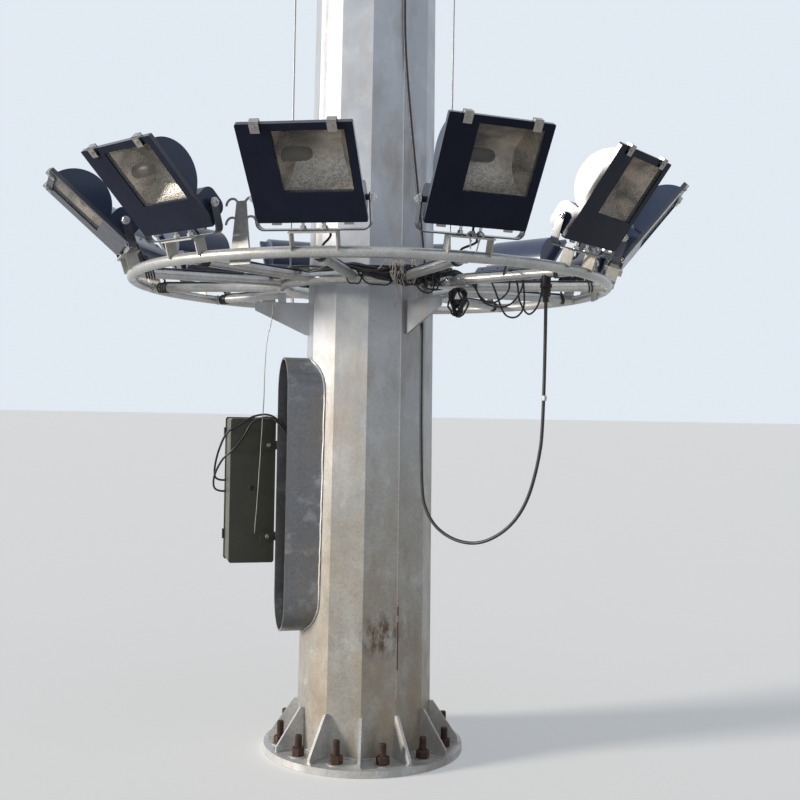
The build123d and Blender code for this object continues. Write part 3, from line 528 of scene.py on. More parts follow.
@dataclass
class Shape:
    """Vertices and faces that grow piece by piece into one mesh."""

    verts: list[Vector] = field(default_factory=list)
    faces: list[tuple[int, ...]] = field(default_factory=list)

    def add(self, verts: Points, faces: Iterable[Sequence[int]], place: Place = None) -> "Shape":
        """Adds vertices, moved by a matrix, and the faces between them."""
        start = len(self.verts)
        self.verts.extend(Vector(v) if place is None else place @ Vector(v) for v in verts)
        self.faces.extend(tuple(start + i for i in face) for face in faces)
        return self

    def rings(self, rings: Sequence[Points], closed: bool = False, place: Place = None) -> "Shape":
        """Skins a row of equal rings.

        Args:
            rings: Rings of points, one after another.
            closed: True if the last ring joins the first, else the ends are filled.
            place: Where the skin stands.

        Returns:
            The shape.
        """
        size, count = len(rings[0]), len(rings)
        faces: list[Sequence[int]] = []
        for i in range(count if closed else count - 1):
            a, b = i * size, ((i + 1) % count) * size
            faces.extend((a + j, a + (j + 1) % size, b + (j + 1) % size, b + j) for j in range(size))
        if not closed:
            faces += [range(size)[::-1], range((count - 1) * size, count * size)]
        return self.add([v for ring in rings for v in ring], faces, place)

    def tube(self, path: Sequence[Vector], radius: float, sides: int = 6, closed: bool = False) -> "Shape":
        """Round tube along a path.

        Args:
            path: Points of the centreline.
            radius: Radius of the tube.
            sides: Facets round it.
            closed: True for a loop.

        Returns:
            The shape.
        """
        count = len(path)
        rings = []
        side = None
        for i, point in enumerate(path):
            ahead = path[(i + 1) % count] if closed or i < count - 1 else point
            behind = path[i - 1] if closed or i > 0 else point
            way = (ahead - behind).normalized()
            if side is None:
                side = way.orthogonal().normalized()
            side = (side - way * side.dot(way)).normalized()
            other = way.cross(side)
            rings.append([point + radius * (math.cos(a) * side + math.sin(a) * other) for a in circle(sides)])
        return self.rings(rings, closed)

    def wire(
        self, knots: Points, radius: float, steps: int = 6, sides: int = 6, closed: bool = False
    ) -> "Shape":
        """Round tube along the smooth line through some points."""
        return self.tube(soft_line(knots, steps, closed), radius, sides, closed)

    def lathe(self, profile: Pairs, sides: int = 24, place: Place = None) -> "Shape":
        """Turned form about local Z from (radius, height) pairs, closed at both ends."""
        rings = [[(r * math.cos(a), r * math.sin(a), z) for a in circle(sides)] for r, z in profile]
        return self.rings(rings, place=place)

    def disc(
        self, inner: float, outer: float, low: float, high: float, sides: int, place: Place = None
    ) -> "Shape":
        """Flat washer, collar or pin along local Z."""
        return self.lathe([(inner, low), (outer, low), (outer, high), (inner, high)], sides, place)

    def box(self, low: Point, high: Point) -> "Shape":
        """Block between two corners."""
        outline = ((low[0], low[1]), (high[0], low[1]), (high[0], high[1]), (low[0], high[1]))
        return self.rings([[(x, y, z) for x, y in outline] for z in (low[2], high[2])])

    def hexagon(self, across: float, low: float, high: float, place: Place = None) -> "Shape":
        """Nut or bolt head with turned corners, along local Z."""
        r, edge = across / math.sqrt(3), 0.06 * across
        return self.lathe([(0.90 * r, low), (r, low + edge), (r, high - edge), (0.90 * r, high)], 6, place)

    def piece(
        self, name: str, finish: Finish, body: Owner, smooth: float = 35.0, place: Place = None
    ) -> bpy.types.Object:
        """Makes the object, dresses it and sets it on its body.

        Args:
            name: Name of the piece.
            finish: Its surface finish.
            body: The body that it rides on.
            smooth: Largest angle that is shaded smooth, in degrees.
            place: Where it stands, or None when it is drawn in place.

        Returns:
            The new object.
        """
        mesh = bpy.data.meshes.new(name)
        mesh.from_pydata([tuple(v) for v in self.verts], [], self.faces)
        mesh.validate()
        mesh.update()
        soften(mesh, finish, smooth)
        return stand(mesh, name, body, place)

    def wiring(
        self, name: str, body: Owner = Body.CARRIAGE, finish: Finish = CABLE_BLACK, place: Place = None
    ) -> bpy.types.Object:
        """Makes an object of round wires or beads."""
        return self.piece(name, finish, body, 60, place)


def soften(mesh: bpy.types.Mesh, finish: Finish, smooth: float) -> None:
    """Shades the curved faces of a mesh smooth and gives it its finish."""
    for polygon in mesh.polygons:
        polygon.use_smooth = True
        polygon.material_index = 0
    mesh.set_sharp_from_angle(angle=math.radians(smooth))
    mesh.materials.clear()
    mesh.materials.append(finish.material())


def stand(mesh: bpy.types.Mesh, name: str, body: Owner, place: Place) -> bpy.types.Object:
    """Makes an object of a mesh and sets it on its body, if it has one."""
    piece = add_object(name, mesh)
    if place is not None:
        piece.matrix_world = place
    if body is not None:
        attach(piece, body.value if isinstance(body, Body) else body)
    return piece


def dress(finish: Finish, *nodes: str, smooth: float = 30.0) -> None:
    """Gives nodes of the frame their finish and smooth curved faces."""
    for node in nodes:
        soften(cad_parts[node].data, finish, smooth)
        LOG.info("dressed %s with %s", node, finish.name)


@dataclass
class Base:
    """Base flange, gussets and the rusty anchor bolts in its holes."""

    circle: float = 0.375
    thickness: float = 0.030
    stud: float = 0.0155
    stud_rise: float = 0.097
    pitch: float = 0.0036
    nut: float = 0.050
    nut_height: float = 0.034
    washer: float = 0.037
    washer_height: float = 0.0045
    gusset_root: float = 0.305
    gusset_foot: float = 0.425
    gusset_half: float = 0.006

    def threaded(self) -> Pairs:
        """Profile of a stud with its thread turned as fine ridges."""
        profile = [(self.stud * 0.80, 0.0)]
        for k in range(int(self.stud_rise / self.pitch)):
            profile += [(self.stud * 0.90, k * self.pitch), (self.stud, (k + 0.5) * self.pitch)]
        return profile + [(self.stud * 0.80, self.stud_rise)]

    def build(self) -> None:
        """Anchors, welds and finishes."""
        rng = random.Random(4)
        studs, nuts, washers = Shape(), Shape(), Shape()
        for k in range(12):
            spot = at(*polar(self.circle, 15 + 30 * k, self.thickness))
            studs.lathe(self.threaded(), 14, spot @ at(0, 0, rng.uniform(-0.012, 0.010)))
            twist = turn(rng.uniform(0, 60))
            nuts.hexagon(self.nut, self.washer_height, self.washer_height + self.nut_height, spot @ twist)
            washers.disc(0.019, self.washer, 0.0, self.washer_height, 20, spot)
        studs.piece("anchor_studs", ANCHOR_RUST, Body.MAST)
        nuts.piece("anchor_nuts", ANCHOR_RUST, Body.MAST, 25)
        washers.piece("anchor_washers", WASHER_STEEL, Body.MAST)
        self.welds(rng)
        dress(BASE_ZINC, "base_flange", "base_gussets")

    def welds(self, rng: random.Random) -> None:
        """Uneven beads along the gusset feet and round the foot of the shaft."""
        beads = Shape()
        height, wave = self.thickness + 0.002, 0.0012
        for k in range(12):
            for side in (-1, 1):
                path = []
                for s in range(15):
                    radius = self.gusset_root + (self.gusset_foot - self.gusset_root) * s / 14
                    across = side * (self.gusset_half + 0.002 + wave * rng.uniform(-1, 1))
                    path.append(turn(30 * k) @ Vector((across, -radius, height)))
                beads.tube(path, 0.0042)
        foot = []
        for k in range(12):
            first, second = (polar(corner_radius(0.03) + 0.002, 30 * j, height) for j in (k, k + 1))
            for s in range(10):
                foot.append(first.lerp(second, s / 10) + Vector((0, 0, wave * rng.uniform(-1, 1))))
        beads.tube(foot, 0.005, closed=True).wiring("base_welds", Body.MAST, WASHER_STEEL)


@dataclass
class Shaft:
    """The tapered shaft, its seams and the rust on one of them."""

    seam_corners: tuple[float, ...] = (30.0, 210.0)
    seam_bottom: float = 0.27
    seam_top: float = 9.95
    steps: int = 260
    rusty: tuple[tuple[float, float], ...] = ((0.402, 0.606), (0.634, 0.673))
    rust_azimuth: float = 30.15

    def build(self) -> None:
        """Finishes, the two long weld seams and rust on a seam."""
        rng = random.Random(9)
        seams, rust = Shape(), Shape()
        for corner in self.seam_corners:
            path = []
            for k in range(self.steps + 1):
                height = self.seam_bottom + (self.seam_top - self.seam_bottom) * (k / self.steps) ** 1.6
                radius = corner_radius(height) + 0.0004
                path.append(polar(radius + 0.0006 * rng.uniform(-1, 1), corner, height))
            seams.tube(path, 0.0032)
        seams.wiring("shaft_seams", Body.MAST, SHAFT_ZINC)
        for low, high in self.rusty:
            heights = [low + (high - low) * k / 16 for k in range(17)]
            rust.tube([polar(corner_radius(z) + 0.0015, self.rust_azimuth, z) for z in heights], 0.0036)
        rust.wiring("shaft_seam_rust", Body.MAST, ANCHOR_RUST)
        dress(SHAFT_ZINC, "shaft_door_section", "shaft_lower", "shaft_upper", smooth=12)


@dataclass
class Neck:
    """Door neck with its weld to the shaft."""

    half_width: float = 0.150
    bottom: float = 0.530
    top: float = 1.740
    steps: int = 24

    def outline(self, grow: float) -> Pairs:
        """Racetrack outline of the neck as sideways and height."""
        radius = self.half_width + grow
        points = []
        for centre, start in ((self.top - self.half_width, 0.0), (self.bottom + self.half_width, math.pi)):
            for k in range(self.steps + 1):
                a = start + math.pi * k / self.steps
                points.append((radius * math.cos(a), centre + radius * math.sin(a)))
        return points

    def surface(self, side: float, height: float) -> float:
        """Distance along the neck's axis to the shaft's face."""
        flat = corner_radius(height) * math.cos(math.pi / SIDES)
        angles = [math.radians(30 * j) for j in range(-2, 3)]
        return min((flat - side * math.sin(a)) / math.cos(a) for a in angles)

    def build(self) -> None:
        """Bead where the neck meets the shaft, and the neck's zinc, darkened as painted shade."""
        rng = random.Random(12)
        path = []
        outline = self.outline(0.003)
        for index, (side, height) in enumerate(outline):
            after = outline[(index + 1) % len(outline)]
            steps = 30 if abs(after[1] - height) > 0.2 else 1
            for s in range(steps):
                x, z = (a + (b - a) * (s / steps) for a, b in zip((side, height), after))
                y = self.surface(x, z) + 0.003 + 0.0012 * rng.uniform(-1, 1)
                path.append(turn(NECK_AZIMUTH) @ Vector((x, -y, z)))
        Shape().tube(path, 0.0048, closed=True).wiring("neck_weld", Body.MAST, BASE_ZINC)
        # The neck's zinc is darkened as painted shade.
        dress(SHADED_NECK_ZINC, "door_neck")


@dataclass
class Cabinet:
    """Control cabinet: the frame's box with its fittings and cables."""

    near: float = -0.156
    far: float = -0.362
    outer: float = -0.608
    plug: tuple[float, float] = (-0.510, 1.150)
    lock: tuple[float, float] = (-0.435, 1.155)
    strap: float = -0.150
    strap_heights: tuple[float, float] = (0.930, 1.345)
    bolt_depths: tuple[float, float] = (-0.430, -0.365)
    hinge_heights: tuple[float, float] = (0.900, 1.375)
    controls: tuple[tuple[Point, ...], ...] = (
        ((-0.060, -0.300, 1.330), (-0.085, -0.370, 1.430), (-0.120, -0.430, 1.481),
         (-0.138, -0.500, 1.476), (-0.142, -0.560, 1.440), (-0.160, -0.618, 1.400),
         (-0.215, -0.646, 1.330), (-0.275, -0.660, 1.250), (-0.335, -0.654, 1.190),
         (-0.372, -0.620, 1.172), (-0.375, -0.580, 1.176)),
        ((-0.050, -0.300, 1.300), (-0.075, -0.370, 1.410), (-0.112, -0.430, 1.470),
         (-0.133, -0.505, 1.452), (-0.144, -0.545, 1.385), (-0.150, -0.590, 1.325),
         (-0.190, -0.636, 1.275), (-0.255, -0.664, 1.200), (-0.320, -0.658, 1.140),
         (-0.370, -0.618, 1.120), (-0.375, -0.580, 1.126)),
    )
    earth: tuple[Point, ...] = (
        (-0.4368, -0.0545, 1.975), (-0.4370, -0.0560, 1.940), (-0.4470, -0.0570, 1.880),
        (-0.4600, -0.0580, 1.820), (-0.4680, -0.0550, 1.700), (-0.4710, -0.0450, 1.553),
        (-0.4780, -0.0200, 1.472), (-0.4880, 0.0000, 1.300), (-0.4990, 0.0100, 1.100),
        (-0.5090, 0.0180, 0.960), (-0.5090, 0.0250, 0.943),
    )

    def fittings(self, place: Matrix) -> None:
        """Plug in the near side, strap bolts, hinges and the lock of the leaf."""
        profile = [(0.004, 0.0), (0.012, 0.0), (0.012, 0.003), (0.007, 0.006), (0.003, 0.006)]
        plug = Shape().lathe(profile, 18, at(self.near, *self.plug, 1, "Y"))
        plug.piece("cabinet_plug", CABLE_BLACK, Body.MAST, place=place)
        screws, lock = Shape(), Shape()
        for z in self.strap_heights:
            for y in self.bolt_depths:
                screws.hexagon(0.017, 0.0, 0.007, at(self.strap, y, z, 1, "Y"))
        screws.piece("strap_bolts", CLIP_STEEL, Body.MAST, 25, place)
        profile = [(0.003, 0.0), (0.016, 0.0), (0.015, 0.006), (0.006, 0.008)]
        lock.lathe(profile, 20, at(self.far, *self.lock, -1, "Y"))
        for z in self.hinge_heights:
            lock.disc(0.002, 0.0045, 0.0, 0.046, 14, at(self.far + 0.010, self.outer - 0.0035, z))
        lock.piece("cabinet_lock", DARK_PAINT, Body.MAST, place=place)

    def cables(self, place: Matrix) -> None:
        """Two control cables from the neck round the box to its leaf, and a thin earth wire."""
        bundle, glands = Shape(), Shape()
        profile = [(0.003, 0.0), (0.013, 0.0), (0.013, 0.008), (0.009, 0.020), (0.003, 0.020)]
        for path in self.controls:
            bundle.wire(path, 0.0048, 8, 10)
            glands.lathe(profile, 16, at(self.far, *path[-1][1:], -1, "Y"))
        bundle.wiring("control_cables", Body.MAST, place=place)
        glands.piece("cabinet_glands", BOX_PLASTIC, Body.MAST, place=place)
        Shape().wire(self.earth, 0.0022, 8, 8).wiring("earth_wire", Body.MAST, ROPE_WIRE)

    def build(self) -> None:
        """Fittings, cables and finishes."""
        place = turn(NECK_AZIMUTH)
        self.fittings(place)
        self.cables(place)
        # Box and brackets get the paint darkened as painted shade.
        dress(SHADED_CABINET_PAINT, "control_cabinet", "cabinet_brackets")


@dataclass
class Machinery:
    """Winch behind the open neck, and the head with its pulleys, hood and lightning rod."""

    finishes: tuple[tuple[Finish, tuple[str, ...]], ...] = (
        (MACHINE_PAINT, ("winch_frame", "winch_gearbox", "head_pulleys")),
        (BASE_ZINC, ("winch_drum",)),
        (ROPE_WIRE, ("winch_rope",)),
        (SHAFT_ZINC, ("head_plate", "head_cheeks", "head_tie_plate", "head_hood", "landing_brackets")),
        (BRIGHT_ZINC, ("lightning_rod",)),
    )

    def build(self) -> None:
        """Finishes of the parts."""
        for finish, nodes in self.finishes:
            dress(finish, *nodes)


@dataclass
class Ropes:
    """Hoist ropes and the cable above the ring."""

    top: float = 20.215
    bottom: float = 2.130
    rope: float = 0.004
    travel: float = 17.6
    clamp: float = 0.350
    clamp_azimuth: float = 41.0
    clear: float = 2.088
    straight: float = 3.6
    upper: tuple[float, float] = (0.138171, -0.249267)

    def follow(self, shape: Shape, name: str, finish: Finish, node: str) -> None:
        """Makes the piece that stands for a node, and hides the node."""
        line = shape.wiring(name, Body.MAST, finish)
        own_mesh(line)
        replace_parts(line, node)

    def climb(self, low: float) -> list[float]:
        """Heights from a point up to the head."""
        return [low + (self.top - low) * k / 40 for k in range(41)]

    def build(self) -> None:
        """Rope and cable tubes from the ring up to the head."""
        ropes = Shape()
        for azimuth in (-60.0, 60.0, 180.0):
            ropes.tube([polar(INNER_RING, azimuth, z) for z in self.climb(self.bottom)], self.rope, 10)
        self.follow(ropes, "rope_lines", ROPE_WIRE, "hoist_ropes")
        x, y = self.upper
        held = [polar(self.clamp, self.clamp_azimuth, z) for z in (CLAMP_HEIGHT, RING_HEIGHT, self.clear)]
        Shape().tube(held, CABLE_RADIUS, 12).wiring("supply_riser_end")
        slanting = polar(self.clamp, self.clamp_azimuth, 2.200)
        path = soft_line([held[-1], slanting, (x, y, 3.070), (x, y, self.straight)], 10)
        path += [Vector((x, y, z)) for z in self.climb(self.straight)[1:]]
        riser = Shape().tube(path, CABLE_RADIUS, 12)
        self.follow(riser, "supply_riser", CABLE_BLACK, "power_cable_run")


@dataclass
class Carriage:
    """Ring carriage: tubes, saddles, stirrups, posts and their small parts."""

    joints: tuple[tuple[float, float, float, int], ...] = (
        (OUTER_RING, OUTER_TUBE, 0.0, -1),
        (INNER_RING, INNER_TUBE, SPOKE_TUBE - INNER_TUBE, 1),
    )
    stud_side: float = 0.039
    saddle_top: float = 0.0812
    bow_azimuth: float = 21.0
    first_band: float = 0.972
    band: float = 0.0222
    finishes: tuple[tuple[Finish, tuple[str, ...]], ...] = (
        (TUBE_ZINC, ("outer_ring", "inner_ring", "spokes")),
        (PLATE_ZINC, ("lamp_platforms",)),
        (POST_ZINC, ("hook_posts",)),
        (BRIGHT_ZINC, ("rope_terminals",)),
        (STIRRUP_PAINT, ("lamp_stirrups",)),
        (BOX_PLASTIC, ("junction_box",)),
        (DARK_PAINT, ("cable_clamp",)),
    )

    def welds(self) -> None:
        """Beads where the spokes meet both rings."""
        rng = random.Random(21)
        beads = Shape()
        spoke = SPOKE_TUBE + 0.001
        for azimuth in LAMP_AZIMUTHS:
            for ring, tube, sink, way in self.joints:
                path = []
                for a in circle(28):
                    x, z = spoke * math.cos(a), spoke * math.sin(a)
                    up = min(abs(z - sink), tube)
                    sag = math.sqrt((tube + 0.002) ** 2 - up * up)
                    radius = math.sqrt((ring + way * sag) ** 2 - x * x)
                    jitter = 0.0008 * rng.uniform(-1, 1)
                    path.append(turn(azimuth) @ Vector((x, -radius + jitter, RING_HEIGHT + z)))
                beads.tube(path, 0.0034, closed=True)
        beads.wiring("ring_welds", finish=TUBE_ZINC)

    def saddle_bolts(self) -> None:
        """Two studs with nuts through each stirrup and saddle."""
        bolts = Shape()
        for azimuth in LAMP_AZIMUTHS:
            for x in (-self.stud_side, self.stud_side):
                spot = lean_frame(azimuth) @ at(x, 0, self.saddle_top)
                bolts.disc(0.004, 0.0140, 0.0, 0.002, 16, spot).hexagon(0.019, 0.002, 0.012, spot)
                bolts.lathe([(0.003, 0.012), (0.0055, 0.012), (0.0055, 0.027), (0.003, 0.028)], 12, spot)
        bolts.piece("saddle_bolts", BRIGHT_ZINC, Body.CARRIAGE, 25)

    def bow(self) -> None:
        """White cord tied in a bow round the middle of one stirrup."""
        cord = Shape()
        thick, place = 0.0026, lean_frame(self.bow_azimuth)
        for k in range(3):
            across = 0.002 + 0.007 * k
            ring = [(across, 0.0225 * math.cos(a), 0.0790 + 0.0075 * math.sin(a)) for a in circle(14)]
            cord.wire([place @ Vector(p) for p in ring], thick, 2, closed=True)
        for side, drop in ((-1, 0.046), (1, 0.058), (-1, 0.020), (1, 0.026)):
            knots = [(0.009, -0.024, 0.083), (0.009 + side * 0.018, -0.030, 0.096),
                     (0.009 + side * 0.034, -0.031, 0.083), (0.009 + side * 0.020, -0.030, 0.070),
                     (0.009 + side * 0.012, -0.030, 0.079 - drop)]
            cord.wire([place @ Vector(p) for p in knots], thick)
        cord.wiring("stirrup_bow", finish=WHITE_TAPE)

    def tape(self) -> None:
        """Black tape and wire bands where the leads cross the ends of the spokes."""
        rng = random.Random(44)
        bands = Shape()
        for azimuth in LAMP_AZIMUTHS:
            for k in range(4 if azimuth < 0 or azimuth > 170 else 2):
                radius = self.first_band + 0.011 * k + rng.uniform(-0.002, 0.002)
                path = []
                for a in circle(18):
                    y = -radius + 0.006 * math.cos(a + azimuth)
                    band = Vector((self.band * math.cos(a), y, RING_HEIGHT + self.band * math.sin(a)))
                    path.append(turn(azimuth) @ band)
                bands.tube(path, 0.0036, closed=True)
        bands.wiring("lead_bands")

    def build(self) -> None:
        """Welds, bolts, tape, bow and finishes."""
        self.welds()
        self.saddle_bolts()
        self.tape()
        self.bow()
        for finish, nodes in self.finishes:
            dress(finish, *nodes)


@dataclass
class SupplyCable:
    """The supply cable's hanging loop under the ring."""

    tie: Point = (0.229621, -0.264148, CLAMP_HEIGHT)
    gland: Point = (0.718860, -0.582121, 1.953)
    route: tuple[tuple[float, float], ...] = (
        (0.0, 1.200), (0.089, 1.047), (0.277, 0.974), (0.509, 0.962),
        (0.732, 1.032), (0.875, 1.140), (0.955, 1.290), (1.0, 1.460),
    )

    def points(self) -> list[Point]:
        """Route of the cable from the clamp to the gland."""
        found = [self.tie]
        for share, height in self.route:
            x, y = (a + share * (b - a) for a, b in zip(self.tie[:2], self.gland[:2]))
            found.append((x, y, height))
        return found + [self.gland]

    def build(self) -> None:
        """The cable as one smooth spline, and the tape on it."""
        curve = bpy.data.curves.new("supply_loop", "CURVE")
        curve.dimensions = "3D"
        curve.bevel_depth = CABLE_RADIUS
        curve.bevel_resolution = 5
        curve.use_fill_caps = True
        curve.resolution_u = 12
        spline = curve.splines.new("NURBS")
        points = self.points()
        spline.points.add(len(points) - 1)
        for spot, point in zip(spline.points, points):
            spot.co = (*point, 1.0)
        spline.order_u = 3
        spline.use_endpoint_u = True
        curve.materials.append(CABLE_BLACK.material())
        loop = add_object("supply_loop", curve)
        wrap = [(0.0072, 0.0), (0.0090, 0.001), (0.0093, 0.010), (0.0090, 0.019), (0.0072, 0.020)]
        tape = Shape().lathe(wrap, 16, at(*self.gland[:2], 1.560))
        band = tape.piece("loop_tape", WHITE_TAPE, Body.CARRIAGE)
        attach(loop, Body.CARRIAGE.value)
        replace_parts(loop, "cable_loop")


@dataclass
class Harness:
    """Black wiring that lies on the spokes and hangs from them round the inner ring."""

    radius: float = 0.470
    strand: float = 0.0046
    side: float = 51.0
    course: tuple[Point, ...] = (
        (-20.0, 0.466, 2.099), (-12.0, 0.452, 2.100), (-7.0, 0.440, 2.098), (-2.0, 0.435, 2.088),
        (5.0, 0.434, 2.074), (12.0, 0.435, 2.062), (20.0, 0.436, 2.056), (28.0, 0.437, 2.060),
        (35.0, 0.436, 2.074), (41.0, 0.442, 2.094), (47.0, 0.470, 2.100),
    )
    slack: tuple[Point, ...] = (
        (-13.0, 11.0, 0.010), (-6.0, 22.0, 0.014), (24.0, 17.0, 0.036), (29.0, 15.0, 0.020))
    hanging: tuple[tuple[tuple[float, float], ...], ...] = (
        ((0.530, 2.094), (0.548, 2.052), (0.590, 1.995), (0.640, 1.968),
         (0.690, 1.982), (0.730, 2.022), (0.745, 2.094)),
        ((0.760, 2.094), (0.768, 2.040), (0.782, 1.968), (0.824, 1.913),
         (0.868, 1.945), (0.886, 2.020), (0.880, 2.094)),
        ((0.600, 2.094), (0.560, 2.040), (0.600, 1.975), (0.680, 1.950),
         (0.745, 1.965), (0.792, 2.030), (0.800, 2.094)),
        ((0.640, 2.094), (0.655, 2.020), (0.697, 1.930), (0.735, 1.904),
         (0.775, 1.912), (0.800, 1.960), (0.812, 2.094)),
    )
    drop: tuple[Point, ...] = (
        (1.030, 32.0, 2.094), (1.005, 32.5, 2.080), (0.930, 35.0, 2.040), (0.860, 39.5, 2.058),
        (0.800, 45.0, 2.088), (0.745, 51.0, 2.0955), (0.640, 51.0, 2.0955),
    )

    def on_side(self, radius: float, height: float, across: float) -> Vector:
        """Point beside the spoke that carries the hanging leads."""
        return turn(self.side) @ Vector((across, -radius, height))

    def bundle(self, rng: random.Random) -> None:
        """Leads tied together round the spokes."""
        strands = Shape()
        for strand in range(5):
            knots = []
            for k in range(36):
                a = 10.0 * k
                near = 1.0 - min(1.0, abs(((a + 9.0) % 30.0) - 15.0) / 15.0)
                radius = self.radius + 0.018 * rng.uniform(-1, 1)
                height = SPOKE_TOP + 0.0055 + 0.004 * strand - 0.036 * near * rng.uniform(0.1, 1.0)
                knots.append(polar(radius, a, height))
            strands.wire(knots, self.strand, 5, 8, True)
        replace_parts(strands.wiring("harness_bundle"), "wiring_harness")

    def over_ring(self, rng: random.Random) -> None:
        """Strands that lie over the front of the inner ring and tangle beside the clamp."""
        strands = Shape()
        for k in range(9):
            knots = []
            for azimuth, radius, height in self.course:
                lift = 0.0042 * k - 0.014 if -4.0 < azimuth < 38.0 else 0.002 * k
                out = 0.0035 * (k % 3) + rng.uniform(0.0, 0.003)
                wave = 0.004 * rng.uniform(-1, 1)
                knots.append(polar(radius + out, azimuth + rng.uniform(-0.8, 0.8), height + lift + wave))
            strands.wire(knots, self.strand, sides=8)
        for start, wide, drop in self.slack:
            knots = [polar(0.438, start, 2.090)]
            for share, part in ((0.25, 0.5), (0.55, 1.0), (0.8, 0.7)):
                knots.append(polar(0.443, start + share * wide, 2.044 - drop * part))
            strands.wire([*knots, polar(0.438, start + wide, 2.088)], 0.0034, 7, 8)
        for _ in range(16):
            azimuth = rng.uniform(17.0, 44.0)
            knots = []
            for _ in range(5):
                azimuth += rng.uniform(-5.0, 6.0)
                knots.append(polar(rng.uniform(0.436, 0.490), azimuth, rng.uniform(2.030, 2.112)))
            strands.wire(knots, rng.choice((0.0030, LEAD)), 7, 8)
        strands.wiring("harness_over_ring")

    def coil(self, rng: random.Random) -> None:
        """Spare length wound up and tied under the right spoke."""
        turns = Shape()
        middle, thin = 0.474, 0.0036
        for k in range(9):
            across = 0.012 + 0.008 * (k % 4)
            wide = 0.036 + 0.010 * rng.uniform(-1, 1)
            tall = 0.050 + 0.012 * rng.uniform(-1, 1)
            height = 2.036 - tall + 0.004 * rng.uniform(-1, 1)
            shift = 0.010 * rng.uniform(-1, 1)
            path = []
            for a in circle(20):
                pinch = 1.0 - 0.45 * max(0.0, -math.sin(a))
                path.append(self.on_side(
                    middle + shift + wide * pinch * math.cos(a) + 0.005 * rng.uniform(-1, 1),
                    height + tall * math.sin(a), across + 0.007 * math.sin(2 * a + k)))
            turns.wire(path, 0.0040, 3, 8, True)
        for k in range(4):
            height = 1.972 + 0.005 * k
            path = [self.on_side(middle + 0.020 * math.cos(a), height, 0.024 + 0.020 * math.sin(a))
                    for a in circle(10)]
            turns.wire(path, thin, 3, 6, True)
        for side in (-1, 1):
            ends = ((0.0, 1.975, 0.024), (side * 0.018, 1.952, 0.028), (side * 0.024, 1.930, 0.022))
            turns.wire([self.on_side(middle + out, height, across) for out, height, across in ends], thin)
        turns.wiring("spare_coil")

    def wound(self) -> None:
        """Bare wire wound round the right spoke, and leads strung under it."""
        winding, loops = Shape(), Shape()
        path = []
        reach = 0.0225
        for k in range(11 * 14):
            a = 2 * math.pi * k / 14
            radius = 0.432 + 0.0095 * k / 14
            path.append(self.on_side(radius, RING_HEIGHT + reach * math.sin(a), reach * math.cos(a)))
        winding.tube(path, 0.0024).wiring("spoke_winding", finish=BRIGHT_ZINC)
        for index, line in enumerate(self.hanging):
            knots = []
            for step, (radius, height) in enumerate(line):
                end = step in (0, len(line) - 1)
                knots.append(self.on_side(radius, height, 0.0 if end else 0.027 + 0.003 * index))
            loops.wire(knots, 0.0040, 8, 8)
        loops.wire([polar(*knot) for knot in self.drop], self.strand, 8, 8)
        loops.wiring("hanging_leads")

    def ties(self) -> None:
        """Straw-coloured twine round the bundle, its ends hanging down."""
        twine = Shape()
        thick = 0.0024
        for k in range(5):
            path = []
            for a in circle(16):
                azimuth = 14.0 + 1.1 * k + 0.8 * math.sin(a)
                path.append(polar(0.452 + 0.030 * math.cos(a), azimuth, 2.080 + 0.046 * math.sin(a)))
            twine.wire(path, 0.0022, 3, 6, True)
        rng = random.Random(14)
        for _ in range(7):
            azimuth = 16.0 + rng.uniform(-4.0, 3.0)
            knots = []
            for _ in range(5):
                azimuth += rng.uniform(-3.5, 3.5)
                knots.append(polar(rng.uniform(0.470, 0.500), azimuth, rng.uniform(2.030, 2.150)))
            twine.wire(knots, rng.choice((0.0020, 0.0028)))
        for azimuth, sway, end in ((13.5, 1.0, 1.905), (15.5, -1.6, 1.960), (17.0, 2.2, 1.990)):
            twine.wire([polar(0.478, azimuth, 2.060), polar(0.484, azimuth + sway, 2.000),
                        polar(0.482, azimuth + 0.4 * sway, end + 0.03),
                        polar(0.480, azimuth + sway, end)], thick)
        twine.wire([polar(0.478, 15.0, 2.105), polar(0.470, 13.0, 2.150),
                    polar(0.474, 16.0, 2.170), polar(0.480, 18.0, 2.150)], thick)
        twine.wiring("harness_twine", finish=STRAW_TIE)

    def spoke_leads(self, rng: random.Random) -> None:
        """One lead along the top of every spoke."""
        leads = Shape()
        for azimuth in LAMP_AZIMUTHS:
            offset = rng.uniform(-0.004, 0.004)
            knots = []
            for k in range(9):
                radius = self.radius + (0.99 - self.radius) * k / 8
                x = offset + 0.004 * rng.uniform(-1, 1)
                knots.append(turn(azimuth) @ Vector((x, -radius, SPOKE_TOP + LEAD)))
            leads.wire(knots, LEAD, 5, 8)
        leads.wiring("spoke_leads")

    def build(self) -> None:
        """Bundle, loops, coil, twine and leads."""
        rng = random.Random(31)
        self.bundle(rng)
        self.over_ring(rng)
        self.coil(rng)
        self.wound()
        self.ties()
        self.spoke_leads(rng)


def lean_frame(azimuth: float) -> Matrix:
    """Frame of one lamp's saddle on the outer ring, leaning outward."""
    saddle = turn(azimuth) @ at(0, -OUTER_RING, RING_HEIGHT)
    return saddle @ Matrix.Rotation(math.radians(LEAN), 4, "X")


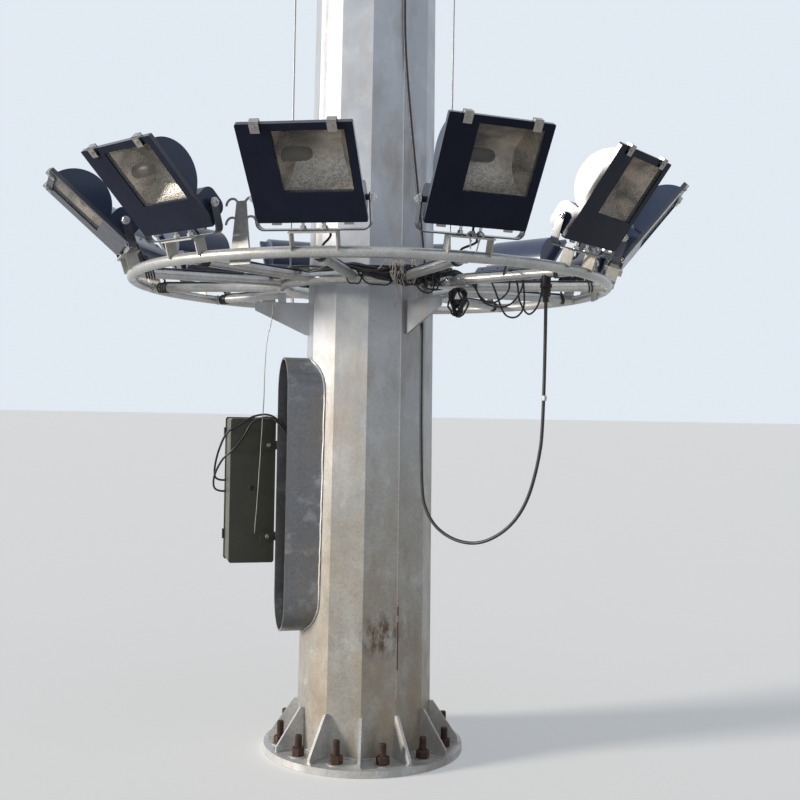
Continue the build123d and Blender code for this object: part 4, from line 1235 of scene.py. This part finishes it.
@dataclass
class Floodlight:
    """One floodlight: reflector, bulb, clips, bolts and lead."""

    number: int
    azimuth: float
    tilt: float
    pivot: float = 0.190
    front: float = -0.058
    back: float = -0.042
    half: float = 0.200
    drop: float = -0.065
    rise: float = 0.335
    slant: float = 0.45
    columns: int = 12
    clip: float = 0.131
    arch: float = 0.1305
    arch_depth: float = -0.078
    arch_height: float = 0.180
    bulb_from: float = -0.112
    bulb_depth: float = 0.002
    trunnion: float = 0.2102
    cover_screws: tuple[float, ...] = (-0.150, -0.050, 0.050, 0.150)
    gland: Point = (0.02, -0.004, -0.0600)
    gland_end: float = -0.079

    @property
    def body(self) -> str:
        """Name of the floodlight's body."""
        return f"floodlight_{self.number:02d}"

    @property
    def place(self) -> Matrix:
        """Local frame at the pivot, facing the tilted front."""
        swing = Matrix.Rotation(math.radians(self.tilt - LEAN), 4, "X")
        return lean_frame(self.azimuth) @ at(0, 0, self.pivot) @ swing

    def trough(self) -> Pairs:
        """Arched section of the reflector as depth and height."""
        arc = [math.radians(-73 + 146 * k / 28) for k in range(29)]
        return [(self.arch_depth + self.arch * math.cos(a), self.arch_height + self.arch * math.sin(a))
                for a in arc]

    def ends(self, depth: float) -> tuple[float, float]:
        """Left and right edge of the reflector at a depth, drawn in towards its back."""
        shift = self.slant * (depth - self.back)
        return -0.0835 + shift, 0.1675 - shift

    def reflector(self) -> Shape:
        """Arched middle sheet of the reflector."""
        arc = self.trough()
        size = len(arc)
        verts, faces = [], []
        for c in range(self.columns + 1):
            for y, z in arc:
                left, right = self.ends(y)
                verts.append((left + (right - left) * c / self.columns, y, z))
        for c in range(self.columns):
            for a in range(c * size, c * size + size - 1):
                faces.append((a, a + 1, a + size + 1, a + size))
        return Shape().add(verts, faces)

    def cheeks(self) -> Shape:
        """Slanted end plates of the reflector."""
        form = Shape()
        arc = self.trough()
        for which, order in ((0, 1), (1, -1)):
            form.add([(self.ends(y)[which], y, z) for y, z in arc], [tuple(range(len(arc)))[::order]])
        return form

    def bulb(self) -> Shape:
        """Long discharge bulb over the frame's bulb."""
        profile = [(0.0160, 0.0), (0.0226, 0.001), (0.0240, 0.030), (0.0262, 0.065), (0.0258, 0.095),
                   (0.0232, 0.1236), (0.0180, 0.134), (0.0100, 0.141), (0.0015, 0.143)]
        place = at(self.bulb_from, self.bulb_depth, self.arch_height, 1, "Y")
        return Shape().lathe(profile, 24, place)

    def clips(self) -> Shape:
        """Sheet clips over the top edge and hinges on the bottom edge."""
        form = Shape()
        face, top = -0.0650, 0.3450
        for x in (-self.clip, self.clip):
            left, right = x - 0.0165, x + 0.0165
            form.box((left, face, 0.303), (right, -0.0633, top))
            form.box((left, face, 0.3434), (right, -0.0400, top))
            form.box((left, -0.0418, 0.328), (right, -0.0400, top))
            form.lathe(SCREW_HEAD, 14, at(x, face, 0.326, 1))
            form.box((x - 0.016, -0.060, -0.0690), (x + 0.016, -0.036, -0.0645))
            form.disc(0.001, 0.005, 0.0, 0.034, 14, at(x - 0.017, -0.055, -0.0700, 1, "Y"))
        return form

    def bolts(self) -> Shape:
        """Trunnion bolt heads and washers outside the stirrup's arms."""
        form = Shape()
        for side in (-1, 1):
            spot = at(side * self.trunnion, 0, 0, side, "Y")
            form.lathe([(0.010, 0.0), (0.0180, 0.0), (0.0176, 0.0030), (0.010, 0.0030)], 24, spot)
            form.hexagon(0.0260, 0.0030, 0.0120, spot)
            form.lathe([(0.002, 0.012), (0.0070, 0.012), (0.0064, 0.019), (0.001, 0.0195)], 14, spot)
        return form

    def screws(self) -> Shape:
        """Cover screws and the cable gland under the gear compartment."""
        form = Shape()
        for x in self.cover_screws:
            form.lathe(SCREW_HEAD, 14, at(x, 0.0470, 0.010, -1))
        gland = at(*self.gland, 2)
        form.hexagon(0.022, 0.0, 0.010, gland)
        return form.lathe([(0.004, 0.010), (0.0095, 0.010), (0.0080, 0.020), (0.0045, 0.021)], 14, gland)

    def zone(self, middle: Vector, normal: Vector) -> int:
        """Which finish a face of the housing takes.

        Args:
            middle: Middle of the face in the lamp's own frame.
            normal: Its direction in the same frame.

        Returns:
            0 for paint, 1 for the front, 2 for the frame's edge, 3 for clips, 4 for the bulb.
        """
        over = middle.z > self.rise + 0.0005
        before = middle.y < self.front - 0.0005 and middle.z > 0.318
        if abs(abs(middle.x) - self.clip) < 0.0152 and (over or before):
            return 3
        across = math.hypot(middle.y - self.bulb_depth, middle.z - self.arch_height)
        if across < 0.0235 and -0.170 < middle.x < 0.012:
            return 4
        if self.front - 0.001 < middle.y < self.back + 0.001:
            if middle.y < self.front + 0.001 and normal.y < -0.9:
                return 1
            low, high = self.drop + 0.009, self.rise - 0.009
            if abs(middle.x) > self.half - 0.009 or not low < middle.z < high:
                return 2
            if normal.y < 0.5:
                return 1
        return 0

    def dress_housing(self) -> None:
        """Gives the housing's faces their finishes by where they lie."""
        node = f"{self.body}_housing"
        dress(LAMP_PAINT, node)
        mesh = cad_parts[node].data
        for finish in (LAMP_FACE, LAMP_EDGE, BRIGHT_ZINC, FROSTED_BULB):
            mesh.materials.append(finish.material())
        back = self.place.inverted()
        turned = back.to_3x3()
        for polygon in mesh.polygons:
            polygon.material_index = self.zone(back @ polygon.center, turned @ polygon.normal)

    def lead(self) -> None:
        """Black lead from the gland to the spoke, shaped for the lamp's tilt."""
        start = self.place @ Vector((*self.gland[:2], self.gland_end))
        end = turn(self.azimuth) @ Vector((0.004, -0.985, SPOKE_TOP + LEAD))
        side = turn(self.azimuth) @ Vector((1, 0, 0))
        down = self.place.to_3x3() @ Vector((0, 0, -1))
        middle = start.lerp(end, 0.45) + side * 0.035 + Vector((0, 0, -0.012))
        knots = [start, start + down * 0.020, middle, end + side * 0.010 + Vector((0, 0, 0.016)), end]
        lead = Shape().wire(knots, 0.0046, 8, 8).wiring(f"lead_{self.number:02d}", None)
        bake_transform(lead)

    def build(self, stock: dict[str, bpy.types.Mesh]) -> None:
        """Fits the shared small parts to this floodlight.

        Args:
            stock: Meshes of the parts already made for another floodlight.
        """
        makers: dict[str, tuple[Callable[[], Shape], Finish]] = {
            "reflector": (self.reflector, REFLECTOR_SHEET),
            "cheeks": (self.cheeks, CHEEK_SHEET),
            "bulb": (self.bulb, FROSTED_BULB),
            "clips": (self.clips, CLIP_STEEL),
            "bolts": (self.bolts, BRIGHT_ZINC),
            "screws": (self.screws, DARK_PAINT),
        }
        for part, (maker, finish) in makers.items():
            name = f"{self.body}_{part}"
            if part in stock:
                stand(stock[part], name, self.body, self.place)
            else:
                stock[part] = maker().piece(name, finish, self.body, 30, self.place).data
        self.lead()
        self.dress_housing()
        dress(CLEAR_PANE, f"{self.body}_glass")


@dataclass
class Studio:
    """Floor, light and the camera at the photograph's angle."""

    focal: float = 1070.8
    picture: float = 800.0
    sensor: float = 36.0
    heading: float = -0.313
    pitch: float = 0.84
    roll: float = 1.025
    eye: Point = (0.167, -4.853, 1.490)
    skylight: tuple[Color, float] = ((0.72, 0.84, 1.0), 0.36)
    backdrop: tuple[Color, float] = ((0.76, 0.82, 0.89), 1.0)
    suns: tuple[tuple[str, Point, float, float, Color], ...] = (
        ("key", (-0.930, -0.300, 0.220), 3.7, 12.0, (1.0, 0.94, 0.85)),
        ("fill", (0.6, -0.8, 0.5), 0.12, 60.0, (0.85, 0.92, 1.0)),
    )
    floor_half: float = 1200.0
    sight: float = 5000.0

    def floor(self) -> None:
        """Large pale floor under the flange."""
        mesh = bpy.data.meshes.new("floor")
        size = self.floor_half
        corners = [(x * size, y * size, -0.002) for x, y in ((-1, -1), (1, -1), (1, 1), (-1, 1))]
        mesh.from_pydata(corners, [], [(0, 1, 2, 3)])
        mesh.materials.append(FLOOR.material())
        add_object("floor", mesh)

    def sky(self) -> None:
        """Soft even light, with a pale backdrop for the eye and for reflections."""
        world = bpy.data.worlds.new("studio")
        bpy.context.scene.world = world
        world.use_nodes = True
        nodes = Nodes(world.node_tree)
        soft = nodes.node("Background", dict(enumerate(self.skylight))).outputs[0]
        pale = nodes.node("Background", dict(enumerate(self.backdrop))).outputs[0]
        both = nodes.node("MixShader", {0: nodes.seen(), 1: soft, 2: pale})
        nodes.node("OutputWorld", {0: both.outputs[0]})

    def sun(self, name: str, source: Point, strength: float, spread: float, color: Color) -> None:
        """A wide distant lamp shining from a direction."""
        light = bpy.data.lights.new(name, "SUN")
        light.energy = strength
        light.angle = math.radians(spread)
        light.color = color
        add_object(name, light).rotation_euler = Vector(source).to_track_quat("Z", "Y").to_euler()

    def camera(self) -> None:
        """Camera at the photograph's place, angle and lens."""
        h, p, r = (math.radians(a) for a in (self.heading, self.pitch, self.roll))
        forward = Vector((math.sin(h) * math.cos(p), math.cos(h) * math.cos(p), math.sin(p)))
        right = Vector((math.cos(h), -math.sin(h), 0.0))
        up = right.cross(forward)
        side = math.cos(r) * right + math.sin(r) * up
        top = -math.sin(r) * right + math.cos(r) * up
        data = bpy.data.cameras.new("camera")
        data.sensor_width = self.sensor
        data.lens = self.focal / self.picture * self.sensor
        data.clip_end = self.sight
        camera = add_object("camera", data)
        matrix = Matrix((side, top, -forward)).transposed().to_4x4()
        matrix.translation = Vector(self.eye)
        camera.matrix_world = matrix
        bpy.context.scene.camera = camera

    def build(self) -> None:
        """Sets the whole studio."""
        self.floor()
        self.sky()
        for lamp in self.suns:
            self.sun(*lamp)
        self.camera()
        bpy.context.scene.view_settings.view_transform = "Standard"


def main() -> None:
    """Builds the tower piece by piece."""
    logging.basicConfig(level=logging.INFO, format="%(message)s")
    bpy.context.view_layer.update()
    Studio().build()
    parts = (Base, Shaft, Neck, Cabinet, Machinery, Ropes, Carriage, SupplyCable, Harness)
    for part in parts:
        LOG.info("building %s", part.__name__)
        part().build()
    stock: dict[str, bpy.types.Mesh] = {}
    for number, (azimuth, tilt) in enumerate(zip(LAMP_AZIMUTHS, LAMP_TILTS), start=1):
        Floodlight(number, azimuth, tilt).build(stock)
    LOG.info("fitted %d floodlights", len(LAMP_AZIMUTHS))


if __name__ == "__main__":
    main()
